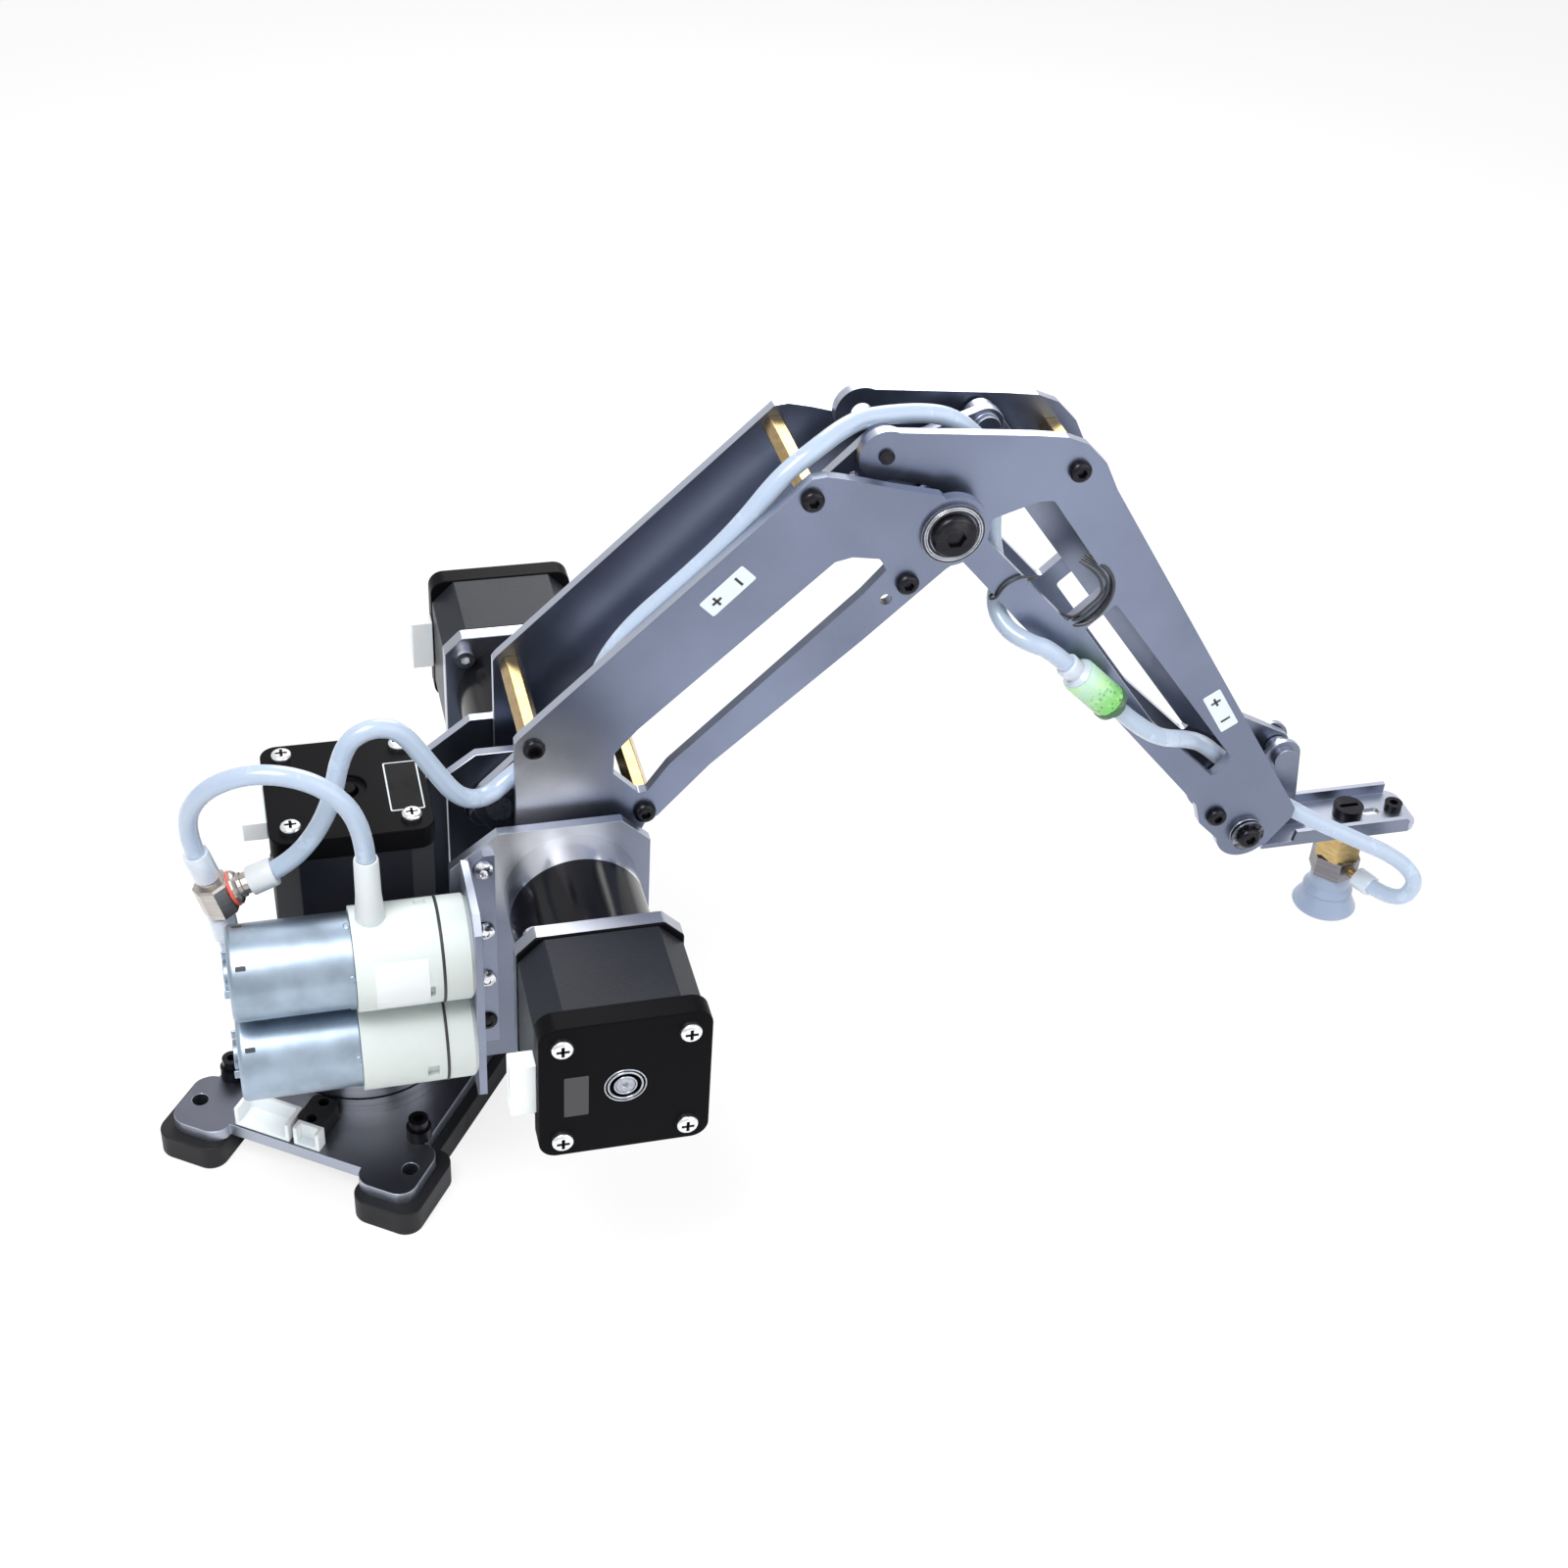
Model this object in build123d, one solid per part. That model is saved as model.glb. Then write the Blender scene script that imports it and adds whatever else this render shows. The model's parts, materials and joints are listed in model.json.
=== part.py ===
from build123d import *
import math
import os

os.makedirs("parts", exist_ok=True)

# A desktop palletizing robot arm with three geared stepper motors and a vacuum cup.
# Lengths are in millimetres. The stored frame has +Z up, +X along the base plate and its
# origin on the bench, midway between the four base bolts.
# Most pieces are drawn in the arm's own frame: x forward along the arm, y away from the
# pump side, z up, with the origin on the shoulder axis midway between the arm plates.

# Base
BASE_LENGTH = 130.0
BASE_WIDTH = 75.0
BASE_THICKNESS = 4.0
BASE_WAIST = 5.0
LOBE_LENGTH = 20.0
LOBE_WIDTH = 17.0
BOLT_INSET_X = 10.0
BOLT_INSET_Y = 4.5
BOLT_HOLE = 4.5
FOOT_HEIGHT = 8.0
FOOT_WIDTH = 14.0
FOOT_OVERHANG = 3.0
BASE_POST_INSET = 12.0
CONNECTOR_INSET = 0.5
CONNECTOR_END = 19.0
LONG_SOCKET = 17.0
SHORT_SOCKET = 8.0
SOCKET_DEEP = 8.0
SOCKET_SHALLOW = 3.6
SOCKET_HEIGHT = 6.5
SOCKET_WALL = 1.2
SOCKET_GAP = 1.4
BLOCK_LENGTH = 11.0
POST_DIAMETER = 7.0
POST_HEIGHT = 4.0
POST_SCREW_HEIGHT = 3.0
SOCKET_DEPTH = 1.8

# Shoulder position and photographed turn of the tower
SHOULDER_HEIGHT = 88.0
SHOULDER_REACH = 55.4
YAW_OFFSET = 35.5
TOWER_TURN = 55.3

# Turntable
RING_OUTER = 50.0
RING_INNER = 32.0
RING_HEIGHT = 5.6
BALL_DIAMETER = 4.0
BALL_COUNT = 16
RACE_PLAY = 0.05
RING_GAP = 0.8
SPACER_HEIGHT = 6.4
HUB_DIAMETER = 22.0

# Geared stepper motor
MOTOR_FACE = 42.3
MOTOR_CHAMFER = 5.0
MOTOR_SCREW_SPACING = 31.0
MOTOR_LENGTH = 37.7
COVER_LENGTH = 5.2
REAR_COVER_LENGTH = 6.5
REAR_COVER_CORNER = 4.5
GEARBOX_DIAMETER = 36.0
GEARBOX_NOSE = 10.0
GEARBOX_RING = 26.9
SHAFT_DIAMETER = 8.0
REAR_SHAFT_DIAMETER = 5.0
REAR_RECESS = 10.6
SCREW_HEAD = 5.5

# Tower sheet metal
PLATE = 3.0
TOWER_INNER = 24.0
TOWER_TOP = 21.0
TOWER_FRONT = 21.2
TOWER_BACK = -32.0
TOWER_FLOOR_THICKNESS = 4.0
TOWER_FLOOR_BACK = -79.0
ANCHOR_PLATE_Y = 8.0

# Upper arm
ARM_INNER = 17.5
ELBOW_X = 98.3
ELBOW_Z = 97.0
STANDOFF_ACROSS = 5.5
BUTTON_HEAD = 6.0
BUTTON_HEIGHT = 2.2
ARM_HUB_DIAMETER = 24.0
ELBOW_SCREW_HEAD = 12.0
SHOULDER_LOBE = 28.0
ELBOW_LOBE = 20.0
TAPPED_HOLE = 3.2
TAPPED_BACK = 15.9
TAPPED_DROP = 18.5

# Forearm
FOREARM_INNER = 10.0
WRIST_X = 205.0
WRIST_Z = -21.0
AXLE_DIAMETER = 6.0
BEARING_DIAMETER = 14.0
BEARING_FLANGE = 17.0
FAR_PIN_HOLE = 5.4
WRIST_WASHER = 10.0
WRIST_SCREW_HEAD = 7.0

# Drive crank and its rod
CRANK_X = -16.8
CRANK_Z = 18.9
CRANK_WIDTH = 13.0
CRANK_NEAR = -12.1
CRANK_THICKNESS = 2.5
ROD_WIDTH = 11.0
ROD_NEAR = -9.3
ROD_THICKNESS = 3.0
PIN_DIAMETER = 4.0

# Levelling linkage
ANCHOR_REACH_X = -19.3
ANCHOR_REACH_Z = 5.2
LEVEL_RISE_X = 14.0
LEVEL_RISE_Z = 17.5
LEVEL_ROD_WIDTH = 9.0
KNEE_BACK = 29.0
KNEE_RISE = 15.5
LEVEL_ROD_NEAR = 4.5
TRIANGLE_NEAR = 1.0
PIN_PLAY = 0.05
PIN_HEAD = 7.0
SIDE_PLAY = 0.3

# Vacuum pumps
PUMP_AXIS_Y = -41.0
UPPER_PUMP_Z = -3.0
LOWER_PUMP_Z = -31.0
PUMP_HEAD_DIAMETER = 27.5
PUMP_HEAD_LENGTH = 30.0
PUMP_MOTOR_DIAMETER = 25.0
PUMP_MOTOR_LENGTH = 31.0
PUMP_TERMINAL = 1.6
PUMP_FACE_X = -29.2
NOZZLE_X = -54.0
NOZZLE_DIAMETER = 5.5
NOZZLE_TOP = 28.0
BRACKET_SHEET = 2.0
BRACKET_TOP = 14.0
BRACKET_BOTTOM = -50.0
BRACKET_DEPTH = 24.0
BRACKET_HOLE_DROPS = (4, 22, 40, 56)

# Tool
TRAY_NEAR = -9.5
TRAY_WIDTH = 19.0
TRAY_SHEET = 1.5
TRAY_BOTTOM = -32.0
TRAY_BACK = 9.0
TRAY_FRONT = 20.3
EAR_BEND = 10.0
FLANGE_HEIGHT = 5.0
CUP_REACH = 41.7
CUP_STEM = 8.0
CUP_BODY_ACROSS = 13.0
CUP_BODY_LENGTH = 12.0
CUP_NUT_ACROSS = 13.5
CUP_NUT_LENGTH = 7.0
CUP_RIM = 20.0
CUP_LENGTH = 13.5
CUP_WALL = 1.2

# Air line
TUBE = 5.0
BARB = 3.0
FILTER_DIAMETER = 10.0

# Derived places in the arm frame
FLOOR_Z = -SHOULDER_HEIGHT
BASE_UNDERSIDE = FLOOR_Z + FOOT_HEIGHT
BASE_TOP = BASE_UNDERSIDE + BASE_THICKNESS
LOWER_RING_TOP = BASE_TOP + RING_HEIGHT
UPPER_RING_BOTTOM = LOWER_RING_TOP + RING_GAP
TOWER_FLOOR_BOTTOM = UPPER_RING_BOTTOM + RING_HEIGHT + SPACER_HEIGHT
YAW_FACE_Z = TOWER_FLOOR_BOTTOM + TOWER_FLOOR_THICKNESS
BOLT_SPACING_X = BASE_LENGTH - 2 * BOLT_INSET_X
BOLT_SPACING_Y = BASE_WIDTH - 2 * BOLT_INSET_Y
TOWER_OUTER = TOWER_INNER + PLATE
ARM_OUTER = ARM_INNER + PLATE
FOREARM_OUTER = FOREARM_INNER + PLATE
GEARBOX_LENGTH = GEARBOX_NOSE + GEARBOX_RING
ELBOW = (ELBOW_X, ELBOW_Z)
WRIST = (WRIST_X, WRIST_Z)
CRANK_PIN = (CRANK_X, CRANK_Z)
REAR_PIN = (ELBOW_X + CRANK_X, ELBOW_Z + CRANK_Z)
ANCHOR = (ANCHOR_REACH_X, ANCHOR_REACH_Z)
TRIANGLE_REAR = (ELBOW_X + ANCHOR_REACH_X, ELBOW_Z + ANCHOR_REACH_Z)
TRIANGLE_FRONT = (ELBOW_X + LEVEL_RISE_X, ELBOW_Z + LEVEL_RISE_Z)
TOOL_EAR = (WRIST_X + LEVEL_RISE_X, WRIST_Z + LEVEL_RISE_Z)
TRAY_START = WRIST_X + TRAY_BACK
CUP_X = WRIST_X + CUP_REACH
TRAY_END = CUP_X + TRAY_FRONT
EAR_END = TRAY_START + EAR_BEND
YAW_X = YAW_OFFSET - BOLT_SPACING_X / 2
HALF_BASE = BASE_LENGTH / 2

ARM_STANDOFFS = [(60.8, 109.8), (-8.6, 43.0), (20.8, 18.4), (87.6, 83.1)]
FOREARM_STANDOFFS = [(133.8, 107.6), (194.2, -13.5)]

TO_ROW = (
    Pos(YAW_X, 0, SHOULDER_HEIGHT) * Rot(0, 0, -TOWER_TURN) * Pos(SHOULDER_REACH, 0, 0)
)

NODES = {}


def keep(name, shape):
    """Stores one piece, already in the row frame, to be written under its node name."""
    NODES[name] = shape


def keep_arm(name, shape):
    """Stores one piece that was drawn in the arm frame."""
    NODES[name] = TO_ROW * shape


def group(solids):
    """Puts separate solids side by side in one node."""
    return Compound([part for item in solids for part in item.solids()])


# Profiles and plates

def slab(face, near, far):
    """Extrudes a profile drawn in x and z into a plate between two values of y."""
    return extrude(Plane.XZ.offset(-far) * face, amount=far - near, dir=(0, -1, 0))


def outline(points, radius):
    """A closed polygon, listed clockwise, whose corners are rounded by one radius."""
    return fillet(Polygon(*reversed(points), align=None).vertices(), radius)


def disc(centre, diameter):
    return Pos(centre[0], centre[1]) * Circle(diameter / 2)


def rod_along_y(centre, diameter, near, far):
    """A round bar parallel to y through a point given in x and z."""
    return slab(disc(centre, diameter), near, far)


def link(ends, width, near, far, hole):
    """A flat link with round ends and a pivot hole at each end."""
    bar = make_hull((disc(ends[0], width) + disc(ends[1], width)).edges())
    for end in ends:
        bar -= disc(end, hole)
    return slab(bar, near, far)


def hexagon_along_y(centre, across, near, far):
    return slab(Pos(*centre) * RegularPolygon(across / math.sqrt(3), 6), near, far)


def button_screw(centre, head_y, outward, head=BUTTON_HEAD):
    """A round-headed socket screw on a plate face; outward is -1 on the pump side."""
    top = head_y + outward * BUTTON_HEIGHT
    body = rod_along_y(centre, head, min(head_y, top), max(head_y, top))
    rim = body.edges().filter_by(GeomType.CIRCLE).sort_by(Axis.Y)[-1 if outward > 0 else 0]
    body = fillet(rim, BUTTON_HEIGHT * 0.6)
    socket_end = top - outward * BUTTON_HEIGHT * 0.5
    socket = hexagon_along_y(centre, head * 0.4, min(top, socket_end), max(top, socket_end))
    return body - socket


# Base

def base_profile(overhang=0.0):
    """The base plate seen from above: a rectangle with a rounded lobe at each corner."""
    middle = Rectangle(
        BASE_LENGTH - 2 * BASE_WAIST, BASE_WIDTH - 2 * BASE_WAIST
    )
    lobe_x = HALF_BASE - LOBE_LENGTH / 2
    lobe_y = BASE_WIDTH / 2 - LOBE_WIDTH / 2
    lobe = RectangleRounded(LOBE_LENGTH + overhang, LOBE_WIDTH + overhang, 5)
    return middle + GridLocations(2 * lobe_x, 2 * lobe_y, 2, 2) * lobe


def bolt_holes():
    return GridLocations(BOLT_SPACING_X, BOLT_SPACING_Y, 2, 2) * Circle(BOLT_HOLE / 2)


def post_places():
    """Places of the four spacer screws, inward of the bench bolts."""
    return GridLocations(BOLT_SPACING_X - 2 * BASE_POST_INSET, BOLT_SPACING_Y - 7, 2, 2)


def base_plate():
    face = base_profile() - bolt_holes() - Pos(YAW_X, 0) * Circle(REAR_SHAFT_DIAMETER / 2)
    return Pos(0, 0, FOOT_HEIGHT) * extrude(face, amount=BASE_THICKNESS)


def foot_rail(side):
    """One dog-bone foot under a long edge of the base plate; side is 1 or -1."""
    edge = BASE_WIDTH / 2 + FOOT_OVERHANG
    bar_y = BASE_WIDTH / 2 - BASE_WAIST + FOOT_OVERHANG - FOOT_WIDTH / 2
    lobe_x = HALF_BASE - LOBE_LENGTH / 2
    lobe_y = edge - (LOBE_WIDTH + FOOT_OVERHANG) / 2
    lobe = RectangleRounded(LOBE_LENGTH + 2 * FOOT_OVERHANG, LOBE_WIDTH + FOOT_OVERHANG, 5)
    face = Pos(0, bar_y) * Rectangle(BASE_LENGTH - LOBE_LENGTH, FOOT_WIDTH)
    for x in (-lobe_x, lobe_x):
        face += Pos(x, lobe_y) * lobe
    if side < 0:
        face = mirror(face, Plane.XZ)
    rail = extrude(face - bolt_holes(), amount=FOOT_HEIGHT)
    return rail


def base_screws():
    """Socket screws on short spacers, with their shanks in the base plate's top."""
    top = FOOT_HEIGHT + BASE_THICKNESS
    bottom = (Align.CENTER, Align.CENTER, Align.MIN)
    spacer = Cylinder(POST_DIAMETER / 2, POST_HEIGHT, align=bottom)
    head = Pos(0, 0, POST_HEIGHT) * Cylinder(SCREW_HEAD / 2, POST_SCREW_HEIGHT, align=bottom)
    socket_bottom = POST_HEIGHT + POST_SCREW_HEIGHT - SOCKET_DEPTH
    socket = Pos(0, 0, socket_bottom) * extrude(RegularPolygon(1.45, 6), amount=2)
    post = spacer + head - socket
    return group([Pos(0, 0, top) * place * post for place in post_places()])


def base_connector():
    """Two white board-to-wire sockets in line on the rear waist of the base plate."""
    bottom = (Align.CENTER, Align.CENTER, Align.MIN)
    rear = -HALF_BASE + BASE_WAIST + CONNECTOR_INSET
    sockets = []
    y = CONNECTOR_END
    for width, depth in ((LONG_SOCKET, SOCKET_DEEP), (SHORT_SOCKET, SOCKET_SHALLOW)):
        body = Box(depth, width, SOCKET_HEIGHT, align=bottom)
        body -= Pos(-SOCKET_WALL, 0, SOCKET_WALL) * Box(
            depth, width - 2 * SOCKET_WALL, SOCKET_HEIGHT, align=bottom
        )
        place = Pos(rear + depth / 2, y - width / 2, FOOT_HEIGHT + BASE_THICKNESS)
        sockets.append(place * body)
        y -= width + SOCKET_GAP
    return group(sockets)


def stop_block():
    """Dark block with two screws that holds the motor leads and stops the tower's swing."""
    block = Box(BLOCK_LENGTH, 8, 6, align=(Align.CENTER, Align.CENTER, Align.MIN))
    block = fillet(block.edges().filter_by(Axis.Z), 2)
    for x in (-3.4, 3.4):
        block -= Pos(x, 0, 4) * Cylinder(1.5, 4)
    x = -HALF_BASE + BASE_WAIST + CONNECTOR_INSET + SOCKET_SHALLOW + BLOCK_LENGTH / 2
    return Pos(x, -2.2, FOOT_HEIGHT + BASE_THICKNESS) * block


# Turntable

def race_ring(bottom, groove_height):
    """One bearing ring with a ball groove on the face at groove_height."""
    ring_width = (RING_OUTER - RING_INNER) / 2
    pitch = (RING_OUTER + RING_INNER) / 4
    section = Pos(RING_INNER / 2 + ring_width / 2, bottom + RING_HEIGHT / 2) * Rectangle(
        ring_width, RING_HEIGHT
    )
    section -= Pos(pitch, groove_height) * Circle(BALL_DIAMETER / 2 + RACE_PLAY)
    return revolve(Plane.XZ * section, Axis.Z)


def turntable():
    pitch = (RING_OUTER + RING_INNER) / 4
    mid = LOWER_RING_TOP + RING_GAP / 2
    centre = Pos(-SHOULDER_REACH, 0, 0)
    lower = centre * race_ring(BASE_TOP, mid)
    upper = centre * race_ring(UPPER_RING_BOTTOM, mid)
    spacer_bottom = UPPER_RING_BOTTOM + RING_HEIGHT
    spacer = Circle(RING_OUTER / 2) - Circle(HUB_DIAMETER / 2 + 2)
    spacer_height = TOWER_FLOOR_BOTTOM - spacer_bottom
    spacer_part = centre * Pos(0, 0, spacer_bottom) * extrude(spacer, amount=spacer_height)
    balls = [
        centre * Pos(0, 0, mid) * place * Sphere(BALL_DIAMETER / 2)
        for place in PolarLocations(pitch, BALL_COUNT)
    ]
    keep_arm("lower_bearing_ring", group([lower] + balls))
    keep_arm("turntable_ring", upper + spacer_part)


def yaw_hub():
    """Flanged hub on the base plate that holds the output shaft of the base motor."""
    flange = Cylinder(HUB_DIAMETER / 2 + 3, 4, align=(Align.CENTER, Align.CENTER, Align.MIN))
    height = TOWER_FLOOR_BOTTOM - BASE_TOP - 0.6
    hub = flange + Cylinder(
        HUB_DIAMETER / 2, height, align=(Align.CENTER, Align.CENTER, Align.MIN)
    )
    shaft_height = YAW_FACE_Z + 6 - BASE_TOP
    hub += Cylinder(SHAFT_DIAMETER / 2, shaft_height, align=(Align.CENTER, Align.CENTER, Align.MIN))
    hub -= Pos(HUB_DIAMETER / 2, 0, height / 2 + 2) * Rot(0, 90, 0) * Cylinder(1.5, 8)
    return Pos(-SHOULDER_REACH, 0, BASE_TOP) * hub


# Geared stepper motors

def motor_square(size=MOTOR_FACE, corner=MOTOR_CHAMFER):
    face = Rectangle(size, size)
    return chamfer(face.vertices(), corner)


def motor_pieces():
    """One geared motor with its output face at z = 0 and its rear cover above."""
    bottom = (Align.CENTER, Align.CENTER, Align.MIN)
    nose = Cylinder(GEARBOX_DIAMETER / 2, GEARBOX_NOSE, align=bottom)
    nose -= Cylinder(SHAFT_DIAMETER / 2 + PIN_PLAY, GEARBOX_NOSE, align=bottom)
    nose = chamfer(nose.edges().filter_by(GeomType.CIRCLE).sort_by(Axis.Z)[-1], 0.4)
    ring = Pos(0, 0, GEARBOX_NOSE) * Cylinder(GEARBOX_DIAMETER / 2, GEARBOX_RING, align=bottom)
    ring -= Pos(0, GEARBOX_DIAMETER / 2, GEARBOX_LENGTH - 5) * Rot(90, 0, 0) * Cylinder(1.2, 3)
    front = Pos(0, 0, GEARBOX_LENGTH) * extrude(motor_square(), amount=COVER_LENGTH)
    stator_length = MOTOR_LENGTH - COVER_LENGTH - REAR_COVER_LENGTH
    stator_bottom = GEARBOX_LENGTH + COVER_LENGTH
    stator = Pos(0, 0, stator_bottom) * extrude(
        motor_square(MOTOR_FACE - 0.6, MOTOR_CHAMFER + 1.5), amount=stator_length
    )
    rear_bottom = stator_bottom + stator_length
    rear_face = RectangleRounded(MOTOR_FACE, MOTOR_FACE, REAR_COVER_CORNER)
    rear = Pos(0, 0, rear_bottom) * extrude(rear_face, amount=REAR_COVER_LENGTH)
    top = rear_bottom + REAR_COVER_LENGTH
    rear -= Pos(0, 0, top - 1.2) * Cylinder(REAR_RECESS / 2, 4, align=bottom)
    rear -= Pos(0, 0, rear_bottom + 1.5) * Cylinder(REAR_SHAFT_DIAMETER / 2 + 0.6, 9, align=bottom)
    tip = Pos(0, 0, rear_bottom + 1.5) * Cylinder(
        REAR_SHAFT_DIAMETER / 2, REAR_COVER_LENGTH - 1.7, align=bottom
    )
    screws = []
    for place in GridLocations(MOTOR_SCREW_SPACING, MOTOR_SCREW_SPACING, 2, 2):
        head = Cylinder(SCREW_HEAD / 2, 1.8, align=bottom)
        head = fillet(head.edges().filter_by(GeomType.CIRCLE).sort_by(Axis.Z)[-1], 1.0)
        head -= Pos(0, 0, 1.0) * (Box(3.2, 0.8, 2) + Box(0.8, 3.2, 2))
        screws.append(Pos(0, 0, top) * place * head)
    for place in GridLocations(MOTOR_SCREW_SPACING, MOTOR_SCREW_SPACING, 2, 2):
        socket = Cylinder(SCREW_HEAD / 2, 3.0, align=bottom)
        socket -= extrude(RegularPolygon(1.4, 6), amount=1.5)
        screws.append(Pos(0, 0, GEARBOX_LENGTH - 3.0) * place * socket)
    plug = Pos(0, -MOTOR_FACE / 2 - 3.2, top - 5.5) * Box(16, 6.4, 5.6)
    plug -= Pos(0, -MOTOR_FACE / 2 - 4.6, top - 5.5) * Box(13.6, 6.4, 3.4)
    return {
        "gearbox": group([nose, ring]),
        "motor_covers": group([front, rear, tip]),
        "motor_stator": stator,
        "screws": group(screws),
        "plug": plug,
    }


TOWER_SCREWS = []
MOTOR_PLACES = {
    "forearm": Plane(origin=(0, -TOWER_OUTER, 0), x_dir=(0, 0, -1), z_dir=(0, -1, 0)).location,
    "shoulder": Plane(origin=(0, TOWER_OUTER, 0), x_dir=(0, 0, 1), z_dir=(0, 1, 0)).location,
    "yaw": Plane(origin=(-SHOULDER_REACH, 0, YAW_FACE_Z), x_dir=(0, -1, 0)).location,
}


def motors():
    """Places three motors: two face to face on the shoulder axis and one on the turntable."""
    plugs = []
    pieces = motor_pieces()
    for name, place in MOTOR_PLACES.items():
        for piece in ("gearbox", "motor_covers", "motor_stator"):
            keep_arm(name + "_" + piece, place * pieces[piece])
        TOWER_SCREWS.append(place * pieces["screws"])
        plugs.append(place * pieces["plug"])
    keep_arm("motor_connectors", group(plugs))


# Tower

def tower_side_profile(corner_x, corner_z):
    """A tower side plate in x and z, with its two top corners cut off."""
    low = TOWER_FLOOR_BOTTOM
    return Polygon(
        (TOWER_BACK, low),
        (TOWER_FRONT, low),
        (TOWER_FRONT, TOWER_TOP - 7.4),
        (TOWER_FRONT - 7.7, TOWER_TOP),
        (TOWER_BACK + corner_x, TOWER_TOP),
        (TOWER_BACK, TOWER_TOP - corner_z),
        align=None,
    )


def motor_mount_holes():
    """Centre hole and four screw holes of the gearbox nose, in x and z."""
    holes = Circle(SHAFT_DIAMETER / 2 + 1)
    holes += PolarLocations(14, 4, 45) * Circle(1.6)
    return holes


def tower():
    corner = 12.7
    front = tower_side_profile(corner, 10) - motor_mount_holes()
    rear = tower_side_profile(corner, 10) - motor_mount_holes()
    keep_arm("tower_front_plate", slab(front, -TOWER_OUTER, -TOWER_INNER))
    keep_arm("tower_rear_plate", slab(rear, TOWER_INNER, TOWER_OUTER))
    length = TOWER_FRONT - TOWER_FLOOR_BACK
    floor_face = Pos((TOWER_FRONT + TOWER_FLOOR_BACK) / 2, 0) * Rectangle(length, 2 * TOWER_INNER)
    floor_face = chamfer(floor_face.vertices().group_by(Axis.X)[0], 10)
    floor_face -= Pos(-SHOULDER_REACH, 0) * motor_mount_holes()
    floor = Pos(0, 0, TOWER_FLOOR_BOTTOM) * extrude(floor_face, amount=TOWER_FLOOR_THICKNESS)
    keep_arm("tower_floor", floor)
    anchor_low = YAW_FACE_Z
    anchor_face = Polygon(
        (TOWER_BACK + 4, anchor_low),
        (13, anchor_low),
        (13, TOWER_TOP - 6),
        (7, TOWER_TOP),
        (-20, TOWER_TOP),
        (TOWER_BACK + 4, TOWER_TOP - 6),
        align=None,
    )
    anchor_face -= disc((0, 0), 14)
    pin_near = LEVEL_ROD_NEAR - 1.5
    pin = rod_along_y(ANCHOR, PIN_DIAMETER, pin_near, ANCHOR_PLATE_Y + PLATE)
    pin += rod_along_y(ANCHOR, 7, pin_near - 1.5, LEVEL_ROD_NEAR - 0.3)
    keep_arm("link_anchor_plate", slab(anchor_face, ANCHOR_PLATE_Y, ANCHOR_PLATE_Y + PLATE) + pin)
    for y in (-TOWER_OUTER, TOWER_OUTER):
        outward = -1 if y < 0 else 1
        for x in (-10, 14):
            TOWER_SCREWS.append(button_screw((x, TOWER_FLOOR_BOTTOM + 4.5), y, outward, 5.0))
    keep_arm("tower_screws", group(TOWER_SCREWS))


# Pumps

def pump_bracket():
    """L of thin sheet: a strip on the tower's front plate and a leg that carries the pumps."""
    near = -TOWER_OUTER - BRACKET_SHEET
    strip_face = Polygon(
        (PUMP_FACE_X + 0.2, BRACKET_BOTTOM),
        (-20.5, BRACKET_BOTTOM),
        (-20.5, BRACKET_TOP + 2),
        (-23.5, BRACKET_TOP + 2),
        (PUMP_FACE_X + 0.2, BRACKET_TOP - 3),
        align=None,
    )
    for drop in BRACKET_HOLE_DROPS:
        strip_face -= Pos(-24.2, BRACKET_TOP - drop) * Circle(1.6)
    strip = slab(strip_face, near, -TOWER_OUTER)
    height = BRACKET_TOP - BRACKET_BOTTOM
    leg_y = near - BRACKET_DEPTH / 2 + BRACKET_SHEET / 2
    leg = Pos(PUMP_FACE_X + BRACKET_SHEET / 2, leg_y, (BRACKET_TOP + BRACKET_BOTTOM) / 2) * Box(
        BRACKET_SHEET, BRACKET_DEPTH + BRACKET_SHEET, height
    )
    leg = chamfer(leg.edges().filter_by(Axis.X).group_by(Axis.Y)[0], 4)
    for z in (UPPER_PUMP_Z, LOWER_PUMP_Z):
        leg -= Pos(PUMP_FACE_X, PUMP_AXIS_Y, z) * Rot(0, 90, 0) * Cylinder(4, 8)
    return strip + leg


def along_minus_x(shape):
    """Turns a shape drawn along +z so that it points along -x."""
    return Rot(0, -90, 0) * shape


def pump_head(z, nozzle_up):
    """Round pump head with its joint line, two screw bosses and its nozzle."""
    bottom = (Align.CENTER, Align.CENTER, Align.MIN)
    head = Cylinder(PUMP_HEAD_DIAMETER / 2, PUMP_HEAD_LENGTH, align=bottom)
    head = chamfer(head.edges().filter_by(GeomType.CIRCLE).sort_by(Axis.Z)[0], 1.0)
    groove = Cylinder(PUMP_HEAD_DIAMETER / 2 + 1, 0.8) - Cylinder(PUMP_HEAD_DIAMETER / 2 - 0.8, 0.8)
    head -= Pos(0, 0, 8) * groove
    for angle in (20, 140, 260):
        head -= Rot(0, 0, angle) * Pos(PUMP_HEAD_DIAMETER / 2 - 0.6, 0, 12) * Box(1.4, 4, 3)
    head = Pos(PUMP_FACE_X, PUMP_AXIS_Y, z) * along_minus_x(head)
    radius = NOZZLE_DIAMETER / 2
    if nozzle_up:
        height = NOZZLE_TOP - z
        nozzle = Pos(NOZZLE_X, PUMP_AXIS_Y, z) * Cylinder(radius, height, align=bottom)
        return head + (nozzle - head)
    stub_end = LOWER_NOZZLE_Y
    stub = Pos(NOZZLE_X, PUMP_AXIS_Y, z) * Rot(-90, 0, 0) * Cylinder(
        BARB / 2, stub_end - PUMP_AXIS_Y, align=bottom
    )
    corner = Pos(NOZZLE_X, stub_end, z) * Sphere(BARB / 2)
    barb = Pos(NOZZLE_X, stub_end, z) * along_minus_x(Cylinder(BARB / 2, 8, align=bottom))
    return head + stub + corner + barb


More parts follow.
